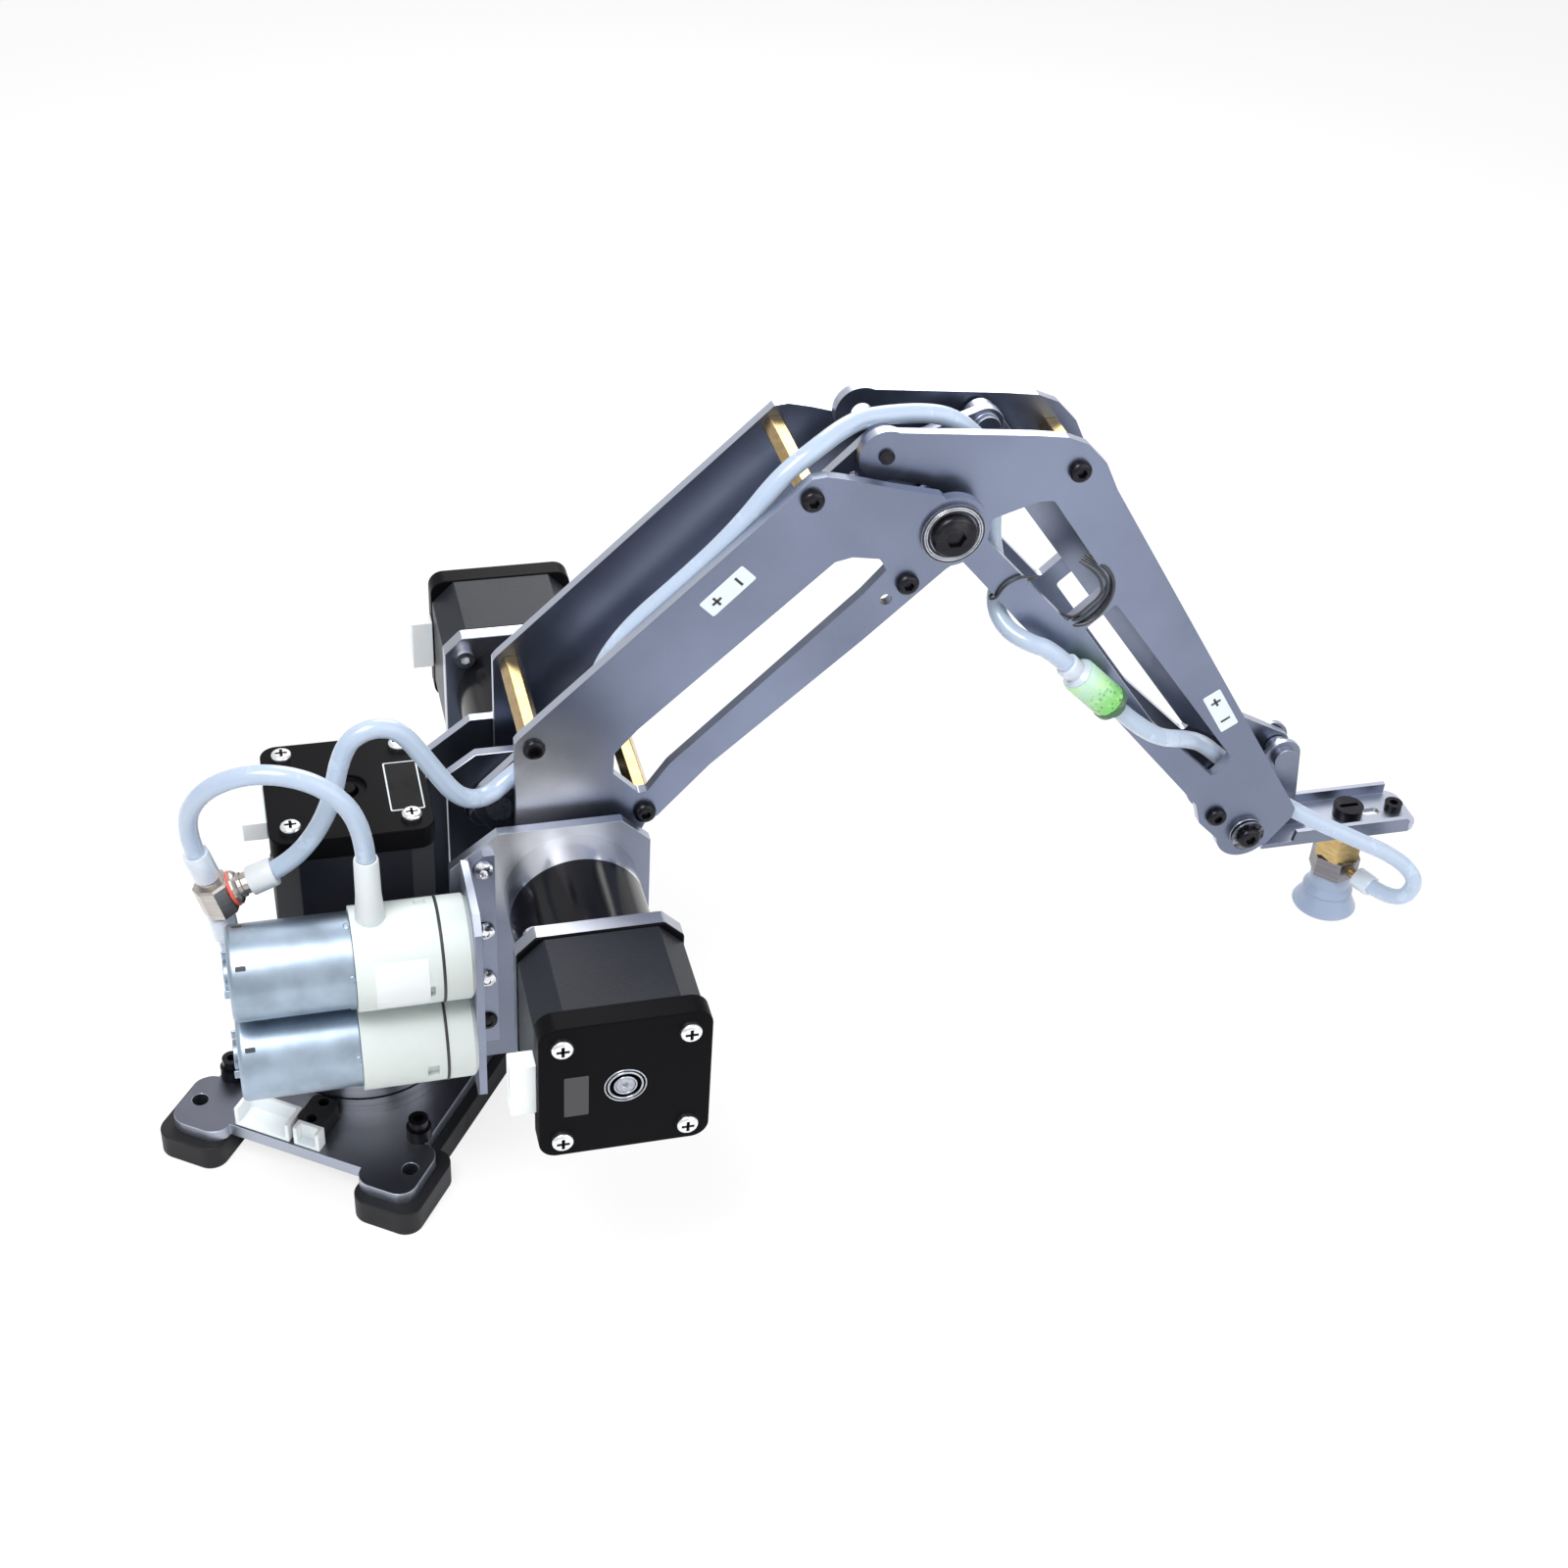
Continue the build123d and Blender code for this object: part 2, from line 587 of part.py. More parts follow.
def pump_motor(z):
    """Small round can motor behind the pump head, with its end boss and two terminals."""
    bottom = (Align.CENTER, Align.CENTER, Align.MIN)
    can = Cylinder(PUMP_MOTOR_DIAMETER / 2, PUMP_MOTOR_LENGTH, align=bottom)
    can = fillet(can.edges().filter_by(GeomType.CIRCLE).sort_by(Axis.Z)[-1], 1.5)
    can += Pos(0, 0, PUMP_MOTOR_LENGTH) * Cylinder(4, 1.2, align=bottom)
    for y in (-7.5, 7.5):
        can += Pos(0, y, PUMP_MOTOR_LENGTH - 0.2) * Box(2.6, 0.6, PUMP_TERMINAL, align=bottom)
    start = PUMP_FACE_X - PUMP_HEAD_LENGTH
    return Pos(start, PUMP_AXIS_Y, z) * along_minus_x(can)


def pumps():
    keep_arm("pump_bracket", pump_bracket())
    keep_arm("upper_pump_head", pump_head(UPPER_PUMP_Z, True))
    keep_arm("lower_pump_head", pump_head(LOWER_PUMP_Z, False))
    keep_arm("upper_pump_motor", pump_motor(UPPER_PUMP_Z))
    keep_arm("lower_pump_motor", pump_motor(LOWER_PUMP_Z))


# Upper arm

ARM_OUTLINE = [
    (-13.4, -4), (-13.4, 44.6), (-12.4, 46), (60.5, 115.4), (64.2, 115.8), (70, 114.5),
    (82, 111), (94.6, 107.9), (106.9, 96.3), (106.5, 92.1), (97.8, 86.2), (77, 66.5),
    (38, 31.5), (24.3, 16.3), (21.3, 14.8), (12, -4),
]
ARM_WINDOW = [
    (18.4, 45.2), (68, 91.1), (72.5, 92.1), (79.7, 90.9), (82, 87.6), (76, 80.6),
    (40.9, 46.4), (27, 32.9), (21.5, 24.9), (19, 24.6), (12.2, 31.8), (12.4, 38.2),
]


def arm_profile():
    """Arm plate in x and z: straight edges, a round hub at the shoulder and at the elbow."""
    face = outline(ARM_OUTLINE, 0.9) + disc((0, 0), SHOULDER_LOBE) + disc(ELBOW, ELBOW_LOBE)
    face -= outline(ARM_WINDOW, 0.9)
    face -= Pos(ELBOW_X - TAPPED_BACK, ELBOW_Z - TAPPED_DROP) * Circle(TAPPED_HOLE / 2)
    return face


def arm():
    near_face = arm_profile() - disc((0, 0), BEARING_DIAMETER) - disc(ELBOW, BEARING_DIAMETER)
    far_face = arm_profile() - disc((0, 0), SHAFT_DIAMETER) - disc(ELBOW, BEARING_DIAMETER)
    keep_arm("arm_near_plate", slab(near_face, -ARM_OUTER, -ARM_INNER))
    keep_arm("arm_far_plate", slab(far_face, ARM_INNER, ARM_OUTER))
    bars = [
        hexagon_along_y(place, STANDOFF_ACROSS, -ARM_INNER, ARM_INNER) for place in ARM_STANDOFFS
    ]
    keep_arm("arm_standoffs", group(bars))
    screws = [button_screw(place, -ARM_OUTER, -1) for place in ARM_STANDOFFS]
    screws += [button_screw(place, ARM_OUTER, 1) for place in ARM_STANDOFFS]
    keep_arm("arm_screws", group(screws))
    hub = rod_along_y((0, 0), ARM_HUB_DIAMETER, ARM_OUTER, TOWER_INNER - 0.5)
    hub += rod_along_y((0, 0), SHAFT_DIAMETER, ARM_INNER, TOWER_OUTER + GEARBOX_NOSE - 1)
    keep_arm("shoulder_output_hub", hub)
    bearings = [bearing(ELBOW, -ARM_OUTER, -1), bearing(ELBOW, ARM_OUTER, 1)]
    bearings.append(bearing((0, 0), -ARM_OUTER, -1, SHAFT_DIAMETER))
    keep_arm("arm_bearings", group(bearings))
    axle = rod_along_y(ELBOW, AXLE_DIAMETER, -ARM_OUTER - 1.2, ARM_OUTER + 1.2)
    for y, outward in ((-ARM_OUTER - 1.2, -1), (ARM_OUTER + 1.2, 1)):
        axle += button_screw(ELBOW, y, outward, ELBOW_SCREW_HEAD)
    keep_arm("elbow_axle", axle)


def bearing(centre, face_y, outward, bore=AXLE_DIAMETER):
    """Flanged bush pressed into a plate, with its flange on the outer face."""
    inner = face_y - outward * PLATE
    body = rod_along_y(centre, BEARING_DIAMETER, min(inner, face_y), max(inner, face_y))
    rim = face_y + outward * 1.0
    body += rod_along_y(centre, BEARING_FLANGE, min(rim, face_y), max(rim, face_y))
    return body - rod_along_y(centre, bore + 2 * PIN_PLAY, -60, 60)


# Crank and drive rod

def crank_drive():
    crank_far = CRANK_NEAR + CRANK_THICKNESS
    web = make_hull((disc((0, 0), 18) + disc(CRANK_PIN, CRANK_WIDTH)).edges())
    web -= disc(CRANK_PIN, PIN_DIAMETER + 2 * PIN_PLAY)
    shaft = rod_along_y((0, 0), SHAFT_DIAMETER, -TOWER_OUTER - GEARBOX_NOSE + 1, CRANK_NEAR)
    keep_arm("drive_crank", slab(web, CRANK_NEAR, crank_far) + shaft)
    rod_far = ROD_NEAR + ROD_THICKNESS
    pin = rod_along_y(CRANK_PIN, PIN_DIAMETER, CRANK_NEAR - SIDE_PLAY, rod_far + SIDE_PLAY)
    pin += rod_along_y(CRANK_PIN, PIN_HEAD, CRANK_NEAR - 2.0, CRANK_NEAR - SIDE_PLAY)
    pin += rod_along_y(CRANK_PIN, PIN_HEAD, rod_far + SIDE_PLAY, rod_far + 1.1)
    keep_arm("crank_pin", pin)
    ends = (CRANK_PIN, REAR_PIN)
    rod = link(ends, ROD_WIDTH, ROD_NEAR, rod_far, PIN_DIAMETER + 2 * PIN_PLAY)
    direction = (ELBOW_X / math.hypot(*ELBOW), ELBOW_Z / math.hypot(*ELBOW))
    spot = (REAR_PIN[0] - 10 * direction[0], REAR_PIN[1] - 10 * direction[1])
    rod -= rod_along_y(spot, 2.6, ROD_NEAR, rod_far)
    keep_arm("drive_rod", rod)


# Levelling linkage

def levelling():
    far = TRIANGLE_NEAR + PLATE
    corners = disc(ELBOW, 19) + disc(TRIANGLE_REAR, 10) + disc(TRIANGLE_FRONT, 10)
    plate = make_hull(corners.edges())
    plate -= disc(ELBOW, AXLE_DIAMETER + 2 * PIN_PLAY)
    plate -= disc(
        ((ELBOW_X + TRIANGLE_FRONT[0] + TRIANGLE_REAR[0]) / 3, ELBOW_Z + 10.5), 6
    )
    triangle = slab(plate, TRIANGLE_NEAR, far)
    rod_far = LEVEL_ROD_NEAR + PLATE
    for end in (TRIANGLE_REAR, TRIANGLE_FRONT):
        triangle += rod_along_y(end, PIN_DIAMETER, far, rod_far + 0.8)
        triangle += rod_along_y(end, 7, TRIANGLE_NEAR - 2, TRIANGLE_NEAR)
        triangle += rod_along_y(end, 7, rod_far + 0.3, rod_far + 1.5)
    keep_arm("elbow_triangle", triangle)
    hole = PIN_DIAMETER + 2 * PIN_PLAY
    upper = link((ANCHOR, TRIANGLE_REAR), LEVEL_ROD_WIDTH, LEVEL_ROD_NEAR, rod_far, hole)
    knee = (TOOL_EAR[0] - KNEE_BACK, TOOL_EAR[1] + KNEE_RISE)
    lower = link((knee, TOOL_EAR), LEVEL_ROD_WIDTH, LEVEL_ROD_NEAR, rod_far, hole)
    lower += link((TRIANGLE_FRONT, knee), LEVEL_ROD_WIDTH, LEVEL_ROD_NEAR, rod_far, hole)
    lower += rod_along_y(knee, LEVEL_ROD_WIDTH, LEVEL_ROD_NEAR, rod_far)
    keep_arm("arm_levelling_rod", upper)
    keep_arm("forearm_levelling_rod", lower)


# Forearm

FOREARM_OUTLINE = [
    (78.2, 110.5), (82.3, 122.4), (120.3, 118.6), (129.6, 117.3), (135.4, 114.8),
    (141.1, 109), (145.3, 100.8), (198.9, 18.2), (219.9, -14.3), (219.6, -17.6),
    (212.8, -27), (201.2, -27.6), (189.3, -15.6), (187.1, -8.6), (155.1, 27.8),
    (123.1, 62.3), (110.5, 76.8), (97, 92), (97.2, 105.5),
]
WINDOW_A = [
    (111.5, 95.1), (123.8, 99.2), (128.1, 99.1), (146.6, 73.7), (146, 69.2), (137.3, 60.7),
    (111.2, 88.7),
]
WINDOW_B = [(142.5, 57.8), (150.5, 65.2), (195.2, 7.6), (190.6, 1.2), (169, 22.2)]


def forearm_profile():
    """Forearm plate in x and z: a tapering triangle with two windows and a rib between."""
    face = outline(FOREARM_OUTLINE, 0.8)
    face += disc(REAR_PIN, 14) + disc(ELBOW, 20) + disc(WRIST, 18)
    face -= outline(WINDOW_A, 1.2)
    face -= outline(WINDOW_B, 1.2)
    return face


def forearm():
    face = forearm_profile()
    face -= disc(ELBOW, AXLE_DIAMETER + 2 * PIN_PLAY)
    face -= disc(REAR_PIN, PIN_DIAMETER)
    face -= disc(WRIST, AXLE_DIAMETER)
    keep_arm("forearm_near_plate", slab(face, -FOREARM_OUTER, -FOREARM_INNER))
    far_face = face - disc(REAR_PIN, FAR_PIN_HOLE)
    keep_arm("forearm_far_plate", slab(far_face, FOREARM_INNER, FOREARM_OUTER))
    bars = [
        hexagon_along_y(place, STANDOFF_ACROSS, -FOREARM_INNER, FOREARM_INNER)
        for place in FOREARM_STANDOFFS
    ]
    keep_arm("forearm_standoffs", group(bars))
    screws = [button_screw(place, -FOREARM_OUTER, -1) for place in FOREARM_STANDOFFS]
    screws += [button_screw(place, FOREARM_OUTER, 1) for place in FOREARM_STANDOFFS]
    keep_arm("forearm_screws", group(screws))
    rod_far = ROD_NEAR + ROD_THICKNESS
    pin = rod_along_y(REAR_PIN, PIN_DIAMETER, -FOREARM_OUTER - 0.8, rod_far)
    pin += rod_along_y(REAR_PIN, PIN_HEAD, rod_far + SIDE_PLAY, rod_far + 1.5)
    pin += rod_along_y(REAR_PIN, PIN_DIAMETER, rod_far, rod_far + SIDE_PLAY)
    axle = rod_along_y(WRIST, AXLE_DIAMETER, -FOREARM_OUTER - 2.4, FOREARM_OUTER + 2.4)
    for y, outward in ((-FOREARM_OUTER - 2.4, -1), (FOREARM_OUTER + 2.4, 1)):
        axle += button_screw(WRIST, y, outward, WRIST_SCREW_HEAD)
        inner = y - outward * 2.4
        axle += rod_along_y(WRIST, WRIST_WASHER, min(y, inner), max(y, inner))
    keep_arm("forearm_pins", group([pin, axle]))


# Tool

def tool_bracket():
    """Bent sheet: an upturned tray with low sides and two ears on the wrist axle."""
    far = TRAY_NEAR + TRAY_WIDTH
    width = TRAY_WIDTH
    length = TRAY_END - TRAY_START
    tray_face = Pos((TRAY_START + TRAY_END) / 2, TRAY_NEAR + width / 2) * Rectangle(length, width)
    tray_face = fillet(tray_face.vertices().group_by(Axis.X)[-1], 5)
    tray_face -= Pos(CUP_X, 0) * Circle(CUP_STEM / 2)
    tray_face -= Pos(CUP_X + 15.5, 0) * Circle(1.6)
    tray_face -= Pos(CUP_X + 8, 0) * SlotOverall(6, 3)
    tray = Pos(0, 0, TRAY_BOTTOM) * extrude(tray_face, amount=TRAY_SHEET)
    flange = Polygon(
        (EAR_END, TRAY_BOTTOM),
        (TRAY_END - 4, TRAY_BOTTOM),
        (TRAY_END - 4, TRAY_BOTTOM + FLANGE_HEIGHT - 1),
        (TRAY_END - 5, TRAY_BOTTOM + FLANGE_HEIGHT),
        (EAR_END + 1, TRAY_BOTTOM + FLANGE_HEIGHT),
        align=None,
    )
    near_flange = slab(flange, TRAY_NEAR, TRAY_NEAR + TRAY_SHEET)
    base_line = Polygon(
        (TRAY_START, TRAY_BOTTOM), (TRAY_END - 4, TRAY_BOTTOM),
        (TRAY_END - 4, TRAY_BOTTOM + FLANGE_HEIGHT), (TRAY_START, TRAY_BOTTOM + FLANGE_HEIGHT),
        align=None,
    )
    lobe = make_hull((disc(WRIST, 14) + disc(TOOL_EAR, 11) + disc((EAR_END + 2, -28), 7)).edges())
    ear_face = base_line + lobe - disc(WRIST, AXLE_DIAMETER + 2 * PIN_PLAY)
    far_ear = slab(ear_face, far - TRAY_SHEET, far)
    inner_lobe = make_hull((disc(WRIST, 14) + disc(TOOL_EAR, 11) + disc((EAR_END, -28), 7)).edges())
    inner_line = Pos(EAR_END, TRAY_BOTTOM + 3) * Rectangle(16, 6)
    inner_face = inner_lobe + inner_line - disc(WRIST, AXLE_DIAMETER + 2 * PIN_PLAY)
    inner_ear = slab(inner_face, -TRAY_SHEET, 0)
    pin = rod_along_y(TOOL_EAR, PIN_DIAMETER, 0, far - TRAY_SHEET)
    pin += rod_along_y(TOOL_EAR, 7, -TRAY_SHEET - 2, -TRAY_SHEET)
    pin += rod_along_y(TOOL_EAR, 7, 0, LEVEL_ROD_NEAR - 0.3)
    return tray + near_flange + far_ear + inner_ear + pin


def tool():
    keep_arm("tool_bracket", tool_bracket())
    bottom = (Align.CENTER, Align.CENTER, Align.MIN)
    tray_top = TRAY_BOTTOM + TRAY_SHEET
    knob = Cylinder(4.6, 3.6, align=bottom) - Pos(0, 0, 2) * Box(6, 1.4, 4, align=bottom)
    screw = Cylinder(2.75, 2.6, align=bottom)
    screw -= Pos(0, 0, 1.4) * extrude(RegularPolygon(1.4, 6), amount=2)
    screws = [
        Pos(CUP_X, 0, tray_top) * knob,
        Pos(CUP_X + 15.5, 0, tray_top) * screw,
    ]
    keep_arm("tool_screws", group(screws))
    body_top = TRAY_BOTTOM - 1.0
    body_bottom = body_top - CUP_BODY_LENGTH
    body = Pos(CUP_X, 0, body_bottom) * extrude(
        RegularPolygon(CUP_BODY_ACROSS / math.sqrt(3), 6), amount=CUP_BODY_LENGTH
    )
    body += Pos(CUP_X, 0, body_top) * Cylinder(CUP_STEM / 2, 1.0 + TRAY_SHEET, align=bottom)
    barb = Pos(CUP_X, 0, CUP_BARB_Z) * Rot(0, 0, BARB_TURN) * Rot(0, 90, 0) * Cylinder(
        BARB / 2, CUP_BARB_REACH, align=bottom
    )
    nut_bottom = body_bottom - CUP_NUT_LENGTH
    nut = Pos(CUP_X, 0, nut_bottom) * extrude(
        RegularPolygon(CUP_NUT_ACROSS / math.sqrt(3), 6, rotation=15), amount=CUP_NUT_LENGTH
    )
    nut -= barb
    keep_arm("cup_fitting", group([body, barb]))
    keep_arm("cup_nut", nut)
    keep_arm("suction_cup", Pos(CUP_X, 0, 0) * suction_cup(nut_bottom))


def suction_cup(top):
    """Soft cup with one bellows fold, turned about its own axis."""
    radii = [6.2, 6.4, 7.8, 7.2, CUP_RIM / 2]
    heights = [0, -5.0, -7.0, -8.2, -CUP_LENGTH]
    outer = [(r, top + h) for r, h in zip(radii, heights)]
    inner = [(r - CUP_WALL, top + h) for r, h in zip(radii[1:], heights[1:])]
    inner[0] = (inner[0][0], top - 4)
    points = [(0, top)] + outer + inner[::-1] + [(0, top - 4)]
    return revolve(Plane.XZ * Polygon(*points, align=None), Axis.Z)


# Air line

LOWER_NOZZLE_Y = -23.5
BARB_TURN = -67.0
CUP_BARB_Z = -49.0
CUP_BARB_REACH = 13.0
TEE = (-91.0, -25.0, 10.0)
TEE_UP_END = (-94.0, -25.6, 21.5)
TEE_SIDE_END = (-79.5, -25.0, 14.5)
TEE_DOWN_END = (-89.8, -24.8, -3.0)
CUP_BARB_TIP = (
    CUP_X + CUP_BARB_REACH * math.cos(math.radians(BARB_TURN)),
    CUP_BARB_REACH * math.sin(math.radians(BARB_TURN)),
    CUP_BARB_Z,
)
FILTER_START = (135.5, -19.8, 52.0)
FILTER_END = (152.5, -19.8, 35.5)


def beyond(start, end, distance):
    """The point past end by a distance, on the line from start through end."""
    line = (Vector(*end) - Vector(*start)).normalized()
    return tuple(Vector(*end) + line * distance)


PUMP_ROUTE = [
    (NOZZLE_X, PUMP_AXIS_Y, NOZZLE_TOP), (NOZZLE_X, PUMP_AXIS_Y, 41), (-63, -40, 53.5),
    (-78, -37, 57), (-91.5, -32, 49.5), beyond(TEE, TEE_UP_END, 13), TEE_UP_END,
]
LOWER_PUMP_ROUTE = [
    (NOZZLE_X - 8, LOWER_NOZZLE_Y, LOWER_PUMP_Z), (-74, LOWER_NOZZLE_Y, LOWER_PUMP_Z),
    (-84, -24, -25), beyond(TEE, TEE_DOWN_END, 11), TEE_DOWN_END,
]
SHOULDER_ROUTE = [
    TEE_SIDE_END, beyond(TEE, TEE_SIDE_END, 9), (-61, -25, 33), (-57, -24.7, 52.5),
    (-50.2, -24.2, 57.2), (-42.4, -23.6, 55.4), (-35, -22.9, 42), (-28.5, -22.2, 30.5),
    (-20.8, -18.3, 26.4), (-13.9, -14.7, 30.2), (-2, -14.7, 39.5), (7, -14.7, 54),
    (14, -14.7, 70.6), (24, -14.7, 79.8),
]
ELBOW_REAR_ROUTE = [
    (24, -14.7, 79.8), (34, -14.7, 89), (45, -14.7, 100.8), (54, -14.6, 113.4),
    (63.5, -12.5, 119.6), (72, -6.8, 121.6), (79, -3.4, 122.2), (88, -3.4, 122.2),
]
ELBOW_FRONT_ROUTE = [
    (88, -3.4, 122.2), (96, -3.4, 122.2), (104.5, -4.1, 118.4), (111, -4.8, 111),
    (114.2, -5.2, 102), (114.4, -5.6, 92), (115.5, -6, 82), (118.8, -6.2, 73),
    (117.6, -7.2, 65), (119.5, -13, 60.5), (125, -18.5, 58.8),
    beyond(FILTER_END, FILTER_START, 8), FILTER_START,
]
TOOL_ROUTE = [
    FILTER_END, beyond(FILTER_START, FILTER_END, 9), (168, -18.6, 22.3), (177.5, -15.6, 18.6),
    (187.6, -7.6, 10.2), (197, -5.2, 1), (210, -5.6, -10.5), (224, -9, -20),
    (241, -14.6, -27.5), (256, -19, -34), (262.5, -23, -41.5),
    beyond((CUP_X, 0, CUP_BARB_Z), CUP_BARB_TIP, 12), CUP_BARB_TIP,
]
ROUTES = {
    "pump_tube": PUMP_ROUTE,
    "lower_pump_tube": LOWER_PUMP_ROUTE,
    "shoulder_tube": SHOULDER_ROUTE,
    "elbow_rear_tube": ELBOW_REAR_ROUTE,
    "elbow_front_tube": ELBOW_FRONT_ROUTE,
    "tool_tube": TOOL_ROUTE,
}


def tube_radii(points):
    """Bend radius at each corner: 0.45 of the shorter run over the tangent of half the turn."""
    radii = []
    for a, b, c in zip(points, points[1:], points[2:]):
        first = Vector(b) - Vector(a)
        second = Vector(c) - Vector(b)
        half_turn = math.radians(first.get_angle(second)) / 2
        radii.append(0.45 * min(first.length, second.length) / math.tan(half_turn))
    return radii


def tube(name, points):
    """A solid round tube along straight runs joined by tangent arcs."""
    radii = tube_radii(points)
    path = FilletPolyline(*points, radius=radii)
    start = Plane(origin=path @ 0, z_dir=path % 0)
    solid = sweep(start * Circle(TUBE / 2), path=path)
    expected = math.pi * TUBE**2 / 4 * path.length
    smallest = round(min(radii), 1)
    print(name, "length", round(path.length, 1), "least radius", smallest,
          "volume ratio", round(solid.volume / expected, 4))
    return solid


def rod_between(start, end, diameter):
    """A round bar from one point to another."""
    line = Vector(*end) - Vector(*start)
    bar = Cylinder(diameter / 2, line.length, align=(Align.CENTER, Align.CENTER, Align.MIN))
    return Plane(origin=start, z_dir=line).location * bar


def tube_tee():
    """Metal tee: a small turned body with three short barbs."""
    body = Pos(*TEE) * Sphere(4.2)
    for end in (TEE_UP_END, TEE_SIDE_END, TEE_DOWN_END):
        body += rod_between(TEE, end, BARB)
        toward = Vector(*TEE) + (Vector(*end) - Vector(*TEE)).normalized() * 6.5
        body += rod_between(TEE, toward, 6)
    return body


def line_filter():
    """Clear in-line filter: a round barrel with a short cone at each end."""
    start = Vector(*FILTER_START)
    end = Vector(*FILTER_END)
    line = end - start
    length = line.length
    section = Polygon(
        (0, 0), (TUBE / 2 + 0.6, 0), (TUBE / 2 + 0.6, 2), (FILTER_DIAMETER / 2, 4.5),
        (FILTER_DIAMETER / 2, length - 2), (TUBE / 2 + 0.8, length), (0, length), align=None,
    )
    barrel = revolve(Plane.XZ * section, Axis.Z)
    return Plane(origin=start, z_dir=line).location * barrel


def air_line():
    for name, route in ROUTES.items():
        keep_arm(name, tube(name, route))
    keep_arm("tube_tee", tube_tee())
    keep_arm("line_filter", line_filter())


# Assembly

def build():
    keep("base_plate", base_plate())
    keep("foot_rail_left", foot_rail(1))
    keep("foot_rail_right", foot_rail(-1))
    keep("base_screws", base_screws())
    keep("base_connector", base_connector())
    keep("stop_block", stop_block())
    keep_arm("yaw_hub", yaw_hub())
    turntable()
    motors()
    tower()
    pumps()
    arm()
    crank_drive()
    levelling()
    forearm()
    tool()
    air_line()


build()
for node, shape in NODES.items():
    export_step(shape, f"parts/{node}.step")
print(len(NODES), "nodes")
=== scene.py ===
import json
import math

import bmesh
import bpy
import numpy as np
from mathutils import Matrix

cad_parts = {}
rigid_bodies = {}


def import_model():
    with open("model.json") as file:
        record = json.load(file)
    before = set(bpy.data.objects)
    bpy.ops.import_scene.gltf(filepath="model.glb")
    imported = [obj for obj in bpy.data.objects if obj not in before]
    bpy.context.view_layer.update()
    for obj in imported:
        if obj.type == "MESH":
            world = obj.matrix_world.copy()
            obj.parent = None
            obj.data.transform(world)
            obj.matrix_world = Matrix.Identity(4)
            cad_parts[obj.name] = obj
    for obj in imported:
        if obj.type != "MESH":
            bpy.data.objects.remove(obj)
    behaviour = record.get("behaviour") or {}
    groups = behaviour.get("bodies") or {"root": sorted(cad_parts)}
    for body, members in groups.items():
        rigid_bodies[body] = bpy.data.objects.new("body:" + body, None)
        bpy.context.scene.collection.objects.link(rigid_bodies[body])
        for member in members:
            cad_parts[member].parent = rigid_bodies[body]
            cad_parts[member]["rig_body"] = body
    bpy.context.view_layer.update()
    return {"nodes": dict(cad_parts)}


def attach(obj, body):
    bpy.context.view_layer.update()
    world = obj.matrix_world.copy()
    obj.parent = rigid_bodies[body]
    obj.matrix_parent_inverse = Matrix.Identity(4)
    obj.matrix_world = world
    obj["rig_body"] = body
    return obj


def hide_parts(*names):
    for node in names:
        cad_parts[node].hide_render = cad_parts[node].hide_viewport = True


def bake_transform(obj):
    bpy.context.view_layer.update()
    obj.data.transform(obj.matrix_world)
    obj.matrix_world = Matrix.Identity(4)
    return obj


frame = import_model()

scene = bpy.context.scene
scene.view_settings.view_transform = "Standard"

# The arm's own frame: x forward along the arm, y away from the pumps, z up, in millimetres,
# with its origin on the shoulder axis midway between the arm plates.
MM = 0.001
TURN = math.radians(-55.3)
ALONG = np.array([math.cos(TURN), math.sin(TURN), 0.0])
ACROSS = np.array([-math.sin(TURN), math.cos(TURN), 0.0])
UP = np.array([0.0, 0.0, 1.0])
YAW_AXIS_X = -55.4
SHOULDER = np.array([-19.5, 0.0, 88.0]) - YAW_AXIS_X * ALONG

# Measures of the solids that the finishing pieces sit on, in arm frame millimetres
TOWER_FACE_Y = -27.0
ARM_FACE_Y = -20.5
FOREARM_FACE_Y = -13.0
BRACKET_FACE_Y = -29.0
NEAR_MOTOR_END_Y = -101.6
YAW_MOTOR_TOP_Z = 21.0
YAW_NOSE_Z = -53.6
BASE_TOP_Z = -77.0
ELBOW = (98.3, 97.0)
WRIST = (205.0, -21.0)
PUMP_AXIS_Y = -41.0
PUMP_LEVELS = (("upper", -3.0), ("lower", -31.0))
CAN_RADIUS = 12.5
HEAD_RADIUS = 13.75
NOSE_LENGTH = 10.0
FLANGE_START, FLANGE_END = 30.0, 41.4


def row(points):
    """Arm frame to row frame: shoulder + x along + y across + z up, then millimetres to metres."""
    p = np.asarray(points, float)
    return (SHOULDER + p[..., 0:1] * ALONG + p[..., 1:2] * ACROSS + p[..., 2:3] * UP) * MM


def direction(vector):
    """An arm frame direction as a unit vector of the row frame."""
    v = np.asarray(vector, float)
    turned = v[0] * ALONG + v[1] * ACROSS + v[2] * UP
    return turned / np.linalg.norm(turned)


# Node groups

def shader_group(name, inputs, outputs):
    """An empty node group with its sockets; values are the defaults."""
    group = bpy.data.node_groups.new(name, "ShaderNodeTree")
    for label, kind, value in inputs:
        socket = group.interface.new_socket(label, in_out="INPUT", socket_type=kind)
        socket.default_value = value
    for label, kind in outputs:
        group.interface.new_socket(label, in_out="OUTPUT", socket_type=kind)
    return group, group.nodes.new("NodeGroupInput"), group.nodes.new("NodeGroupOutput")


def add(tree, kind, inputs=None, **settings):
    """Adds a node, sets its properties, and links or sets its inputs by name or number."""
    node = tree.nodes.new(kind)
    for key, value in settings.items():
        setattr(node, key, value)
    for key, value in (inputs or {}).items():
        if isinstance(value, bpy.types.NodeSocket):
            tree.links.new(value, node.inputs[key])
        else:
            node.inputs[key].default_value = value
    return node


def math_node(tree, operation, *values):
    return add(tree, "ShaderNodeMath", dict(enumerate(values)), operation=operation).outputs[0]


